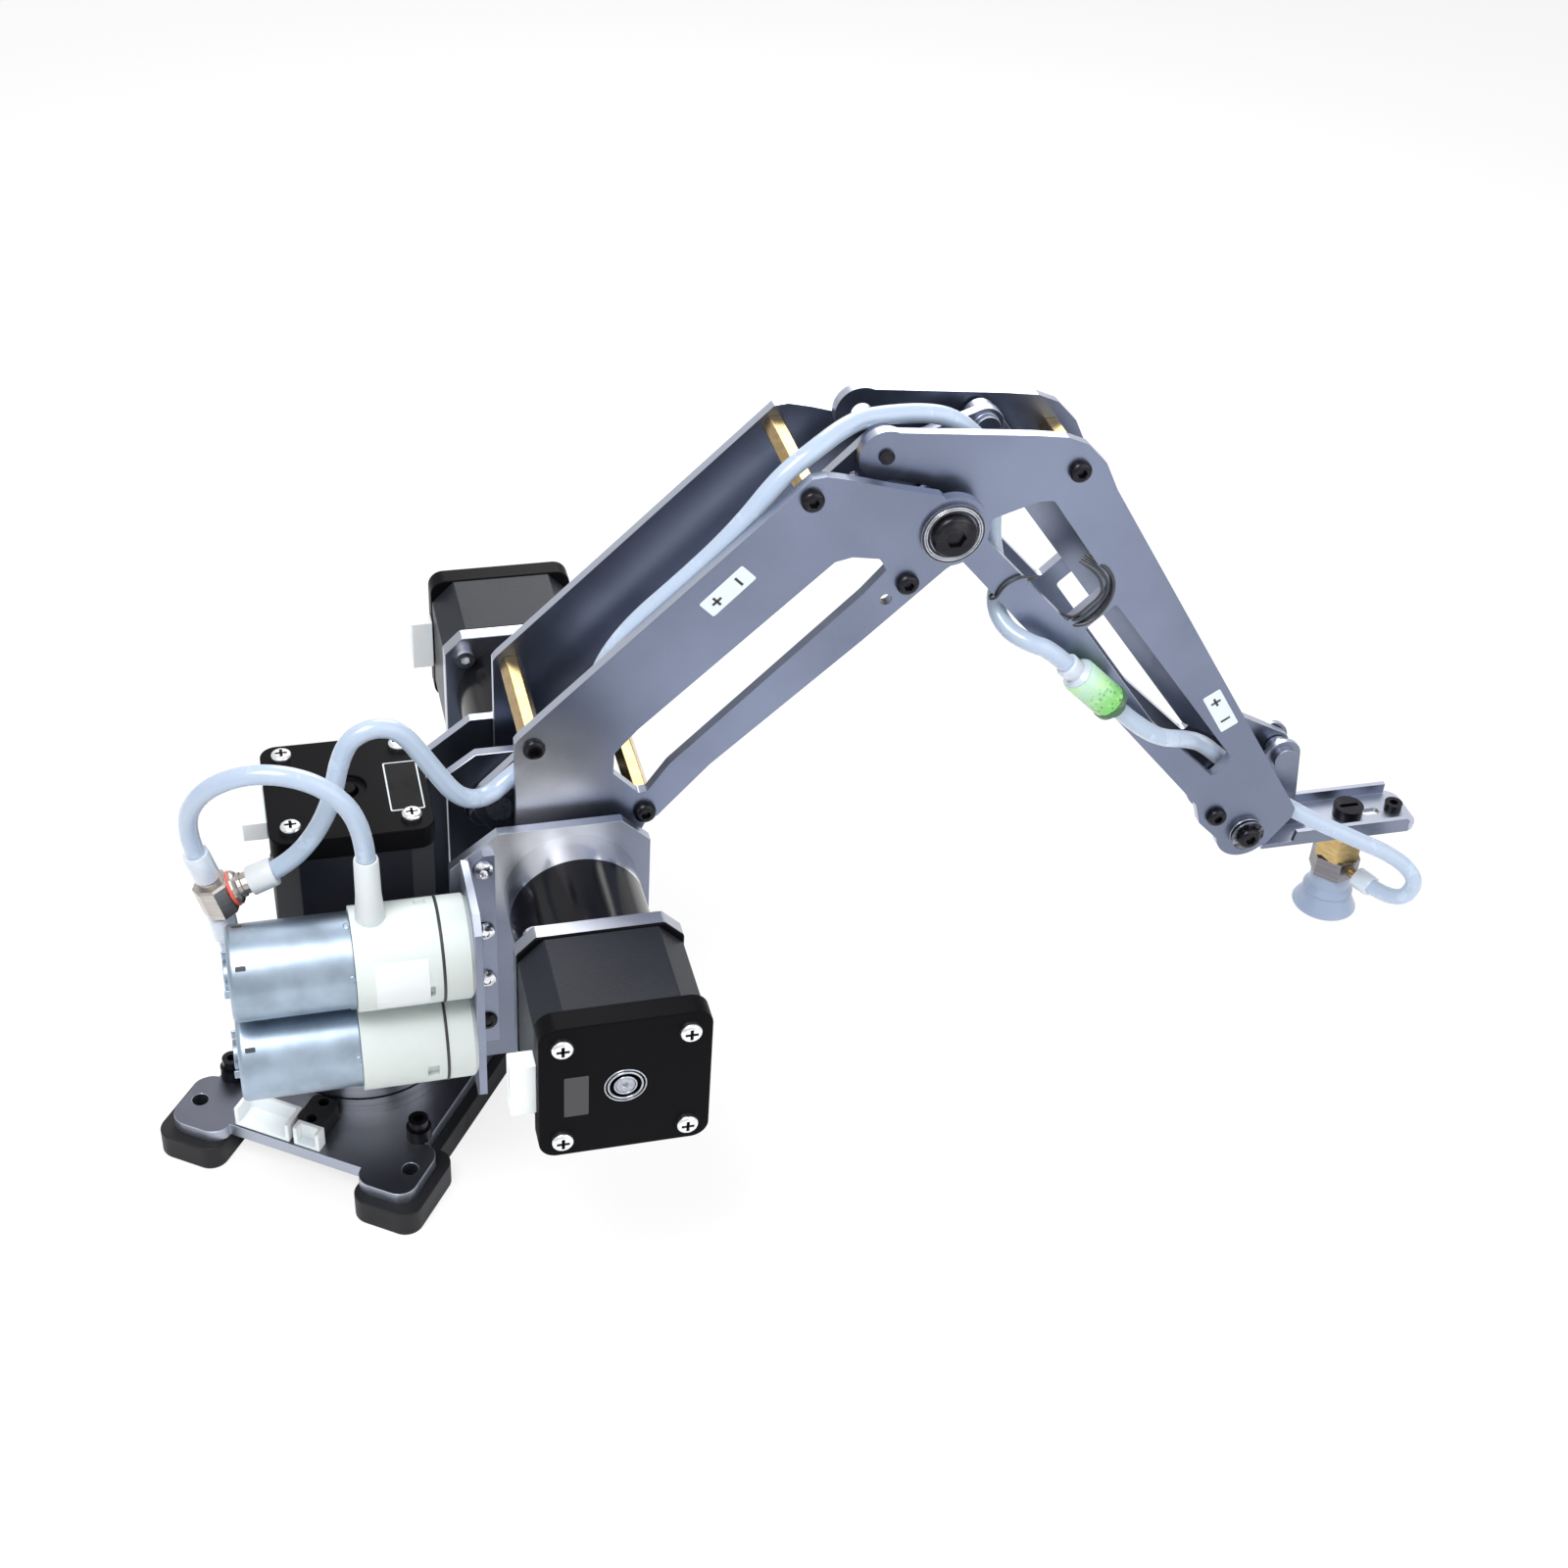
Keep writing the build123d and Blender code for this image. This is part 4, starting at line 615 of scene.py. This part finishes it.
ROUTES = {
    "pump_hose": ("pump_tube", "tower", None, 0.0882, [
        (-54, -41, 28), (-54, -41, 41), (-63, -40, 53.5), (-78, -37, 57), (-91.5, -32, 49.5),
        beyond(TEE, TEE_UP_END, 13), TEE_UP_END]),
    "lower_pump_hose": ("lower_pump_tube", "tower", None, 0.046, [
        (-62, -23.5, -31), (-74, -23.5, -31), (-84, -24, -25), beyond(TEE, TEE_DOWN_END, 11),
        TEE_DOWN_END]),
    "shoulder_hose": ("shoulder_tube", "tower", "arm", 0.171, [
        TEE_SIDE_END, beyond(TEE, TEE_SIDE_END, 9), (-61, -25, 33), (-57, -24.7, 52.5),
        (-50.2, -24.2, 57.2), (-42.4, -23.6, 55.4), (-35, -22.9, 42), (-28.5, -22.2, 30.5),
        (-20.8, -18.3, 26.4), (-13.9, -14.7, 30.2), (-2, -14.7, 39.5), (7, -14.7, 54),
        (14, -14.7, 70.6), (24, -14.7, 79.8)]),
    "elbow_rear_hose": ("elbow_rear_tube", "arm", "elbow_triangle", 0.0835, [
        (24, -14.7, 79.8), (34, -14.7, 89), (45, -14.7, 100.8), (54, -14.6, 113.4),
        (63.5, -12.5, 119.6), (72, -6.8, 121.6), (79, -3.4, 122.2), (88, -3.4, 122.2)]),
    "elbow_front_hose": ("elbow_front_tube", "elbow_triangle", "forearm", 0.1017, [
        (88, -3.4, 122.2), (96, -3.4, 122.2), (104.5, -4.1, 118.4), (111, -4.8, 111),
        (114.2, -5.2, 102), (114.4, -5.6, 92), (115.5, -6, 82), (118.8, -6.2, 73),
        (117.6, -7.2, 65), (119.5, -13, 60.5), (125, -18.5, 58.8),
        beyond(FILTER_END, FILTER_START, 8), FILTER_START]),
    "tool_hose": ("tool_tube", "forearm", "tool", 0.1597, [
        FILTER_END, beyond(FILTER_START, FILTER_END, 9), (168, -18.6, 22.3), (177.5, -15.6, 18.6),
        (187.6, -7.6, 10.2), (197, -5.2, 1), (210, -5.6, -10.5), (224, -9, -20),
        (241, -14.6, -27.5), (256, -19, -34), (262.5, -23, -41.5),
        beyond((CUP_X, 0, CUP_BARB_Z), CUP_BARB_TIP, 12), CUP_BARB_TIP]),
}
BLEND_ENDS = {
    "shoulder_hose": ((-26, -22, 28), (-4, -15, 37)),
    "elbow_rear_hose": ((48, -14.7, 105), (82, -3.4, 122)),
    "elbow_front_hose": ((97, -3.6, 121.5), (115, -5.8, 87)),
    "tool_hose": ((196, -5.2, 2), (236, -13, -26)),
}


def spline_points(name, route):
    """Points read from the NURBS spline whose control points are the route."""
    curve = bpy.data.curves.new(name, "CURVE")
    curve.dimensions = "3D"
    curve.resolution_u = 16
    spline = curve.splines.new("NURBS")
    spline.points.add(len(route) - 1)
    controls = np.concatenate([row(route), np.ones((len(route), 1))], 1)
    spline.points.foreach_set("co", controls.ravel().astype(np.float32))
    spline.order_u = 3
    spline.use_endpoint_u = True
    holder = bpy.data.objects.new(name, curve)
    mesh = bpy.data.meshes.new_from_object(holder)
    points = np.empty(len(mesh.vertices) * 3, np.float32)
    mesh.vertices.foreach_get("co", points)
    bpy.data.objects.remove(holder)
    bpy.data.curves.remove(curve)
    bpy.data.meshes.remove(mesh)
    return points.reshape(-1, 3).astype(float)


def swept(path, radius, steps=20):
    """Circle of a radius in metres carried along a path, square to it at every point."""
    ahead = np.gradient(path, axis=0)
    ahead /= np.linalg.norm(ahead, axis=1)[:, None]
    side = np.cross(ahead, ACROSS)
    side /= np.linalg.norm(side, axis=1)[:, None]
    other = np.cross(ahead, side)
    angle = np.linspace(0, 2 * np.pi, steps, endpoint=False)
    radius = np.broadcast_to(np.asarray(radius, float), len(path))[:, None, None]
    ring = np.cos(angle)[None, :, None] * side[:, None] + np.sin(angle)[None, :, None] * other[:, None]
    return path[:, None] + radius * ring, False, True


TUBE_RADIUS = 2.5 * MM
for name, (node, first, second, length, route) in ROUTES.items():
    path = spline_points(name, route)
    closed = np.concatenate([path[:1], path, path[-1:]])
    radii = np.full(len(closed), TUBE_RADIUS)
    radii[[0, -1]] = 0.0
    points, _, wrap = swept(path, TUBE_RADIUS)
    caps = [np.broadcast_to(path[0], points[:1].shape), points,
            np.broadcast_to(path[-1], points[:1].shape)]
    grid = (np.concatenate(caps), False, wrap)
    hose = piece(name, [grid], silicone, None if second else first, 60.0)
    if second:
        start, end = (row(p) for p in BLEND_ENDS[name])
        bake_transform(hose)
    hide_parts(node)


# In-line filter: clear inlet, green mesh barrel and dark end ring, over the CAD filter
def filter_mesh():
    """Green mesh in a clear barrel: pale at the inlet, lime at the outlet, dark speckles."""
    material, tree, surface = new_material("filter_mesh", Roughness=0.3, Coat_Weight=0.6,
                                           Coat_Roughness=0.12, Subsurface_Weight=0.3)
    surface.inputs["Subsurface Scale"].default_value = 0.002
    band = use_group(tree, BAND, Origin=tuple(row(FILTER_START)), Axis=tuple(FILTER_LINE), From=0.0,
                     To=1.0)
    skin = use_group(tree, SKIN, Cloud_size=260.0, Grain_size=900.0)
    place = add(tree, "ShaderNodeTexCoord").outputs["Object"]
    cells = add(tree, "ShaderNodeTexVoronoi", {"Vector": place, "Scale": 620.0}).outputs["Distance"]
    depth = ramp(tree, band.outputs["Distance"], 0.006, 0.019)
    tone = mix_colour(tree, depth, rgb(0.40, 0.60, 0.48), rgb(0.14, 0.48, 0.09))
    patch = ramp(tree, skin.outputs["Cloud"], 0.48, 0.6)
    tone = mix_colour(tree, math_node(tree, "MULTIPLY", patch, 0.5), tone, rgb(0.42, 0.70, 0.26))
    dots = math_node(tree, "LESS_THAN", cells, 0.3)
    shade = math_node(tree, "MULTIPLY", dots, math_node(tree, "MULTIPLY", depth, 0.8))
    tone = mix_colour(tree, shade, tone, rgb(0.02, 0.16, 0.03))
    tree.links.new(tone, surface.inputs["Base Color"])
    rough_bump(tree, surface, cells, 0.3, 0.0002)
    return material


FILTER_LINE = direction(FILTER_END - FILTER_START)
FILTER_LENGTH = float(np.linalg.norm(FILTER_END - FILTER_START))
filter_ring = plastic_material("filter_ring", (0.02, 0.09, 0.035), 0.3, Coat_Weight=0.4)
filter_parts = (
    ("filter_inlet", sleeve_clear, [(0, 0), (3.0, 0), (3.4, 0.4), (3.4, 3.2), (3.1, 3.6), (3.1, 4.2),
                                    (4.4, 5.2), (4.4, 6.0), (0, 6.0)]),
    ("filter_barrel", filter_mesh(), [(0, 5.4), (4.7, 5.4), (5.0, 5.9), (5.0, FILTER_LENGTH - 3.6),
                                      (4.8, FILTER_LENGTH - 3.4), (0, FILTER_LENGTH - 3.4)]),
    ("filter_end", filter_ring, [(0, FILTER_LENGTH - 4.0), (5.15, FILTER_LENGTH - 4.0),
                                 (5.3, FILTER_LENGTH - 3.7), (5.3, FILTER_LENGTH - 2.4),
                                 (4.9, FILTER_LENGTH - 2.0), (3.3, FILTER_LENGTH - 1.4),
                                 (3.3, FILTER_LENGTH), (0, FILTER_LENGTH)]),
)
for name, material, profile in filter_parts:
    part = piece(name, [turned(profile, row(FILTER_START), FILTER_LINE)], material, "forearm")
    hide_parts("line_filter")


def pad(centre, along, outward, length, width, thick, corner=0.8, rim=0.06):
    """Rounded rectangle raised by thick: straight sides, quarter circles of radius corner, and
    a small rim bevel. The centre is in arm millimetres, the directions in the row frame."""
    turn = np.concatenate([np.linspace(k, k + 1, 7) for k in range(4)]) * np.pi / 2
    signs = np.array([(1, 1), (-1, 1), (-1, -1), (1, -1)], float)
    spot = np.repeat(signs, 7, axis=0) * [length / 2 - corner, width / 2 - corner]
    unit = np.stack([np.cos(turn), np.sin(turn)], -1)
    along, outward = np.asarray(along, float), np.asarray(outward, float)
    side = np.cross(outward, along)
    levels = []
    for reach, height in ((None, 0), (corner, 0), (corner, thick - rim), (corner - rim, thick),
                          (None, thick)):
        flat = np.zeros_like(spot) if reach is None else spot + reach * unit
        levels.append(row(centre) + (flat[:, :1] * along + flat[:, 1:] * side + height * outward) * MM)
    return np.stack(levels), False, True


def strand(name, route, radius, material, body):
    """A short wire or band: a circle carried along the spline of a route, closed flat at its ends."""
    path = spline_points(name, route)
    points, _, wrap = swept(path, radius * MM, 12)
    ends = [np.broadcast_to(path[0], points[:1].shape), points,
            np.broadcast_to(path[-1], points[:1].shape)]
    return piece(name, [(np.concatenate(ends), False, wrap)], material, body, 60.0)


def collar(name, start, end, reach, radius, material, body):
    """Sleeve round a hose end: from start towards end, over a stretch reach of the line."""
    start, end = np.asarray(start, float), np.asarray(end, float)
    line = direction(end - start)
    low, high = reach
    profile = [(2.3, low), (radius - 0.15, low), (radius, low + 0.25), (radius * 0.97, high - 0.8),
               (radius - 0.25, high), (2.3, high)]
    return piece(name, [turned(profile, row(start), line)], material, body)


# Tee: sleeves, red ring and nut; sleeves of the cup barb and the pump nozzle
collar("tee_sleeve_up", TEE, TEE_UP_END, (7.0, 15.5), 3.5, sleeve_clear, "tower")
collar("tee_sleeve_down", TEE, TEE_DOWN_END, (6.0, 14.0), 3.5, sleeve_clear, "tower")
collar("tee_sleeve_side", TEE, TEE_SIDE_END, (9.3, 16.0), 3.9, sleeve_white, "tower")
side_line = direction(TEE_SIDE_END - TEE)
tee_ring = torus(row(TEE) + 4.6 * MM * side_line, side_line, 4.3, 0.5)
piece("tee_ring", [tee_ring], ring_red, "tower")
TEE_NUT = [(0, 4.9), (4.6, 4.9), (4.6, 5.6), (4.0, 6.2), (3.3, 6.5), (3.3, 7.4), (2.9, 7.6), (2.9, 9.5),
           (0, 9.5)]
piece("tee_nut", [turned(TEE_NUT, row(TEE), side_line, 12)], tee_metal, "tower", 25.0)
collar("cup_sleeve", (CUP_X, 0, CUP_BARB_Z), CUP_BARB_TIP, (9.5, 15.5), 3.4, sleeve_clear, "tool")
piece("nozzle_sleeve", [turned([(2.6, 10.0), (3.9, 10.0), (3.85, 11.0), (3.3, 18.0), (3.15, 29.0),
                                (2.95, 29.6), (2.6, 29.6)], row((-54, PUMP_AXIS_Y, 0)), UP)],
      sleeve_white, "tower")

# Pumps: gasket, bare label, can dimples and vents
for level, z in PUMP_LEVELS:
    centre = row((0, PUMP_AXIS_Y, z))
    gasket = torus(centre - 37.2 * MM * ALONG, ALONG, HEAD_RADIUS - 0.1, 0.42)
    piece(level + "_gasket", [gasket], mark_black, "tower")
    dimples = []
    for turn in (17, 85, -50, 150):
        out = -math.cos(math.radians(turn)) * ACROSS + math.sin(math.radians(turn)) * UP
        spot = centre + (CAN_RADIUS * out - 60.0 * ALONG) * MM
        dimples.append(turned([(0, -0.4), (1.0, -0.4), (1.0, 0.02), (0.8, 0.18), (0.5, 0.2), (0, 0.05)],
                              spot, out, 20))
    piece(level + "_can_dimples", dimples, can_zinc, "tower")
    slots = []
    for turn in (46, 110):
        out = -math.cos(math.radians(turn)) * ACROSS + math.sin(math.radians(turn)) * UP
        slots.append(pad((-87.0, PUMP_AXIS_Y - CAN_RADIUS * math.cos(math.radians(turn)),
                          z + CAN_RADIUS * math.sin(math.radians(turn))),
                         ALONG, out, 2.6, 1.3, 0.08, 0.3))
    piece(level + "_can_vents", slots, mark_black, "tower")

label_turn = np.radians(np.linspace(-38, 33, 40))
label_out = -np.cos(label_turn)[:, None] * ACROSS + np.sin(label_turn)[:, None] * UP
label_rows = np.stack([row((0, PUMP_AXIS_Y, PUMP_LEVELS[0][1])) + (x * ALONG + r * label_out) * MM
                       for x, r in ((-54.5, 13.6), (-54.5, 13.86), (-41.0, 13.86), (-41.0, 13.6))], 1)
label_clear = plastic_material("label_clear", (0.72, 0.765, 0.775), 0.18, 0.0, 0.03, Coat_Weight=0.5)
piece("pump_label", [(label_rows, False, True)], label_clear, "tower")

# Pan screws of the pump bracket
SCREW_DOME = [(0, -0.3), (2.75, -0.3), (2.8, 0.3), (2.5, 1.0), (1.8, 1.5), (1.1, 1.65), (0.9, 1.2),
              (0, 1.1)]
for name, heights, material, slot in (
    ("bracket_screws", (11.5, -9.5, -26.5), screw_zinc, "bright_screw"),
    ("bracket_screw_low", (-42.0,), screw_black, "black_screw"),
):
    domes = [turned(SCREW_DOME, row((-23.6, BRACKET_FACE_Y, z)), -ACROSS, 28) for z in heights]
    piece(name, domes, material, "tower", 30.0)

# Elbow: thin black rings standing in for the shade in the turned grooves round the screw head, and a
# steel race between them
elbow_rim = row((ELBOW[0], ARM_FACE_Y - 1.0, ELBOW[1]))
piece("elbow_groove_shade", [torus(elbow_rim, ACROSS, radius, 0.22)
                        for radius in (6.5, 8.1)], mark_black, "arm")
piece("elbow_race", [torus(elbow_rim, ACROSS, radius, 0.3)
                     for radius in (7.0, 7.6)], ring_steel, "arm")

# Rear shaft end and ring of the near motor
shaft_end = row((0, NEAR_MOTOR_END_Y, 0))
piece("near_shaft_rings", [torus(shaft_end + 0.05 * MM * ACROSS, ACROSS, radius, thick)
                           for radius, thick in ((5.1, 0.22), (4.2, 0.3), (2.7, 0.25))],
      ring_steel, "tower")
SHAFT_END = [(0, -0.3), (2.4, -0.3), (2.5, -0.1), (2.3, 0.1), (0.9, 0.1), (0.6, -0.1), (0, -0.1)]
piece("near_shaft_end", [turned(SHAFT_END, shaft_end + 0.1 * MM * ACROSS, -ACROSS, 32)], turned_steel,
      "tower", 30.0)

# Octagonal body of the tee
up_line = direction(TEE_UP_END - TEE)
piece("tee_block", [turned([(0, -5.2), (4.3, -5.2), (4.9, -4.6), (4.9, 4.6), (4.3, 5.2), (0, 5.2)],
                           row(TEE), up_line, 8)], tee_metal, "tower", 20.0)

# Stickers with plus and minus marks, bare motor labels
for name, centre, along, y, body, signs in (
    ("arm_sticker", (40.6, 85.3), (0.71, 0.70), ARM_FACE_Y, "arm", (-1, 1)),
    ("forearm_sticker", (188.4, 25.2), (0.54, -0.84), FOREARM_FACE_Y, "forearm", (-1, 1)),
):
    line = direction((along[0], 0, along[1]))
    front = -ACROSS
    piece(name, [pad((centre[0], y, centre[1]), line, front, 14.9, 5.6, 0.14, 0.5)], sticker_white, body)
    bars = []
    across = np.cross(front, line)
    for end, crossed in ((signs[0], True), (signs[1], False)):
        spot = (centre[0] + 3.8 * end * along[0], y - 0.1, centre[1] + 3.8 * end * along[1])
        bars.append(pad(spot, across, front, 3.0, 0.7, 0.1, 0.1, 0.02))
        if crossed:
            bars.append(pad(spot, line, front, 3.0, 0.7, 0.1, 0.1, 0.02))
    piece(name + "_marks", bars, mark_black, body)

label_grey = plastic_material("label_grey", (0.03, 0.03, 0.034), 0.5, marks=(0.06, 0.06, 0.06))
label_black = plastic_material("label_black", (0.005, 0.005, 0.006), 0.5, Specular_IOR_Level=0.08)
for name, material, centre, along, outward, size, corner in (
    ("motor_label", label_grey, (-12.0, NEAR_MOTOR_END_Y, -1.5), UP, -ACROSS, (13.0, 6.0), 0.3),
    ("yaw_label_rim", sticker_white, (-40.5, -2.0, YAW_MOTOR_TOP_Z), ACROSS, UP, (21.0, 9.0), 0.5),
    ("yaw_label", label_black, (-40.5, -2.0, YAW_MOTOR_TOP_Z + 0.06), ACROSS, UP, (20.2, 8.2), 0.4),
):
    piece(name, [pad(centre, along, outward, *size, 0.1, corner)], material, "tower")

# Cable tie and wire loops on the forearm
strand("leg_tie", [(121, -9.4, 71), (115.5, -9.4, 69.8), (114.2, -11.5, 69.6), (115.4, -13.7, 71),
                   (117, -13.8, 74.8), (121, -13.8, 77.2), (125, -13.6, 76.8), (127.2, -11.5, 75),
                   (126, -9.4, 73.6), (121, -9.4, 71.4)], 0.4, tie_black, "forearm")
for number, (route, radius) in enumerate((
    ([(141, 79.5), (143.6, 78.5), (146.9, 76.1), (148.6, 71.9), (148.1, 67.2), (145.6, 62.8),
      (141.9, 60), (138.6, 59.4), (136, 60.5)], 0.55),
    ([(140, 78.5), (143, 77.6), (145.6, 74.9), (147, 71.4), (146.3, 68.3), (143.5, 65.4),
      (140.6, 62.3), (138, 60.8), (136, 61.6)], 0.45),
    ([(139.5, 77.5), (142.2, 76.4), (144.2, 74.2), (145.4, 71), (144.6, 68.4), (142, 66),
      (139.6, 63.4), (137.4, 61.8), (135.6, 62.4)], 0.35),
)):
    depths = [-9.5, -12.6] + [-13.9] * (len(route) - 4) + [-12.6, -9.5]
    strand("rib_loop_%d" % number, [(x, y, z) for (x, z), y in zip(route, depths)], radius, tie_black,
           "forearm")

# Wrist washers: three thin rings on each side, as lowest and highest distance from the mid plane
# and radius
rings = []
for side in (-1, 1):
    for low, high, radius in ((13.02, 13.9, 5.15), (13.9, 14.7, 4.7), (14.7, 15.4, 5.05)):
        profile = [(2.0, low), (radius - 0.12, low), (radius, low + 0.15), (radius, high - 0.15),
                   (radius - 0.12, high), (2.0, high)]
        rings.append(turned(profile, row((WRIST[0], 0, WRIST[1])), side * ACROSS))
piece("wrist_washers", rings, turned_steel, "forearm", 30.0)

# Stage: camera fitted to the motors in the picture, floor and soft lights. Angles are in degrees,
# distances in millimetres, the focal length in pixels of the image width.
IMAGE_WIDTH, SENSOR_WIDTH = 1600, 36.0
AZIMUTH, ELEVATION, ROLL = -16.85078, 37.45479, math.radians(-4.14203)
DISTANCE, SHIFT_X, SHIFT_Y, FOCAL = 619.4950, -63.24793, 11.48428, 2296.9256
azimuth, elevation = math.radians(AZIMUTH), math.radians(ELEVATION)
backward = np.array([math.sin(azimuth) * math.cos(elevation),
                     -math.cos(azimuth) * math.cos(elevation), math.sin(elevation)])
forward = -backward
level_right = np.cross(forward, [0, 0, 1])
level_right /= np.linalg.norm(level_right)
level_down = np.cross(forward, level_right)
right = math.cos(ROLL) * level_right + math.sin(ROLL) * level_down
down = -math.sin(ROLL) * level_right + math.cos(ROLL) * level_down
eye = -(SHIFT_X * right + SHIFT_Y * down + DISTANCE * forward)
axes = np.stack([direction(right), -direction(down), -direction(forward)], 1)
pose = np.eye(4)
pose[:3, :3] = axes
pose[:3, 3] = row(eye)
camera = bpy.data.objects.new("camera", bpy.data.cameras.new("camera"))
scene.collection.objects.link(camera)
camera.matrix_world = Matrix(pose.tolist())
camera.data.sensor_width = SENSOR_WIDTH
camera.data.lens = FOCAL / IMAGE_WIDTH * SENSOR_WIDTH
camera.data.clip_start = 0.01
scene.camera = camera

backdrop, tree, surface = new_material("floor_white", Roughness=0.8)
surface.inputs["Base Color"].default_value = rgb(0.92, 0.92, 0.92)
white = add(tree, "ShaderNodeEmission", {"Color": rgb(1.0, 1.0, 1.0), "Strength": 1.0})
sight = add(tree, "ShaderNodeLightPath").outputs["Is Camera Ray"]
cover = add(tree, "ShaderNodeMixShader", {
    0: math_node(tree, "MULTIPLY", sight, 0.8), 1: surface.outputs[0], 2: white.outputs[0]})
tree.links.new(cover.outputs[0], tree.nodes["Material Output"].inputs["Surface"])
FLOOR_REACH = 4.0
FLOOR_SIDES = (-FLOOR_REACH, FLOOR_REACH)
corners = np.array([[(x, y, 0) for x in FLOOR_SIDES] for y in FLOOR_SIDES])
floor = piece("floor", [(corners, False, False)], backdrop, None)

world = bpy.data.worlds.new("studio")
scene.world = world
world.use_nodes = True
sky = world.node_tree
rays = add(sky, "ShaderNodeLightPath")
seen = math_node(sky, "MAXIMUM", rays.outputs["Is Camera Ray"],
                 math_node(sky, "MAXIMUM", rays.outputs["Is Glossy Ray"],
                           rays.outputs["Is Transmission Ray"]))
strength = math_node(sky, "MULTIPLY_ADD", seen, 0.45, 0.55)
ground = sky.nodes["Background"]
ground.inputs["Color"].default_value = rgb(1.0, 1.0, 1.0)
sky.links.new(strength, ground.inputs["Strength"])


def softbox(name, place, aim, size, power):
    """Square area light at a place, turned to face aim, both in arm millimetres."""
    data = bpy.data.lights.new(name, "AREA")
    data.size = size
    data.energy = power
    lamp = bpy.data.objects.new(name, data)
    scene.collection.objects.link(lamp)
    start, end = row(place), row(aim)
    back = start - end
    back /= np.linalg.norm(back)
    side = np.cross([0, 0, 1], back)
    side /= np.linalg.norm(side)
    matrix = np.eye(4)
    matrix[:3, :3] = np.stack([side, np.cross(back, side), back], 1)
    matrix[:3, 3] = start
    lamp.matrix_world = Matrix(matrix.tolist())


softbox("key", (-250, -300, 700), (60, 0, 20), 0.35, 6.0)
softbox("fill", (500, -500, 350), (60, 0, 20), 0.7, 2.5)
softbox("rim", (250, 600, 500), (60, 0, 20), 0.5, 4.0)
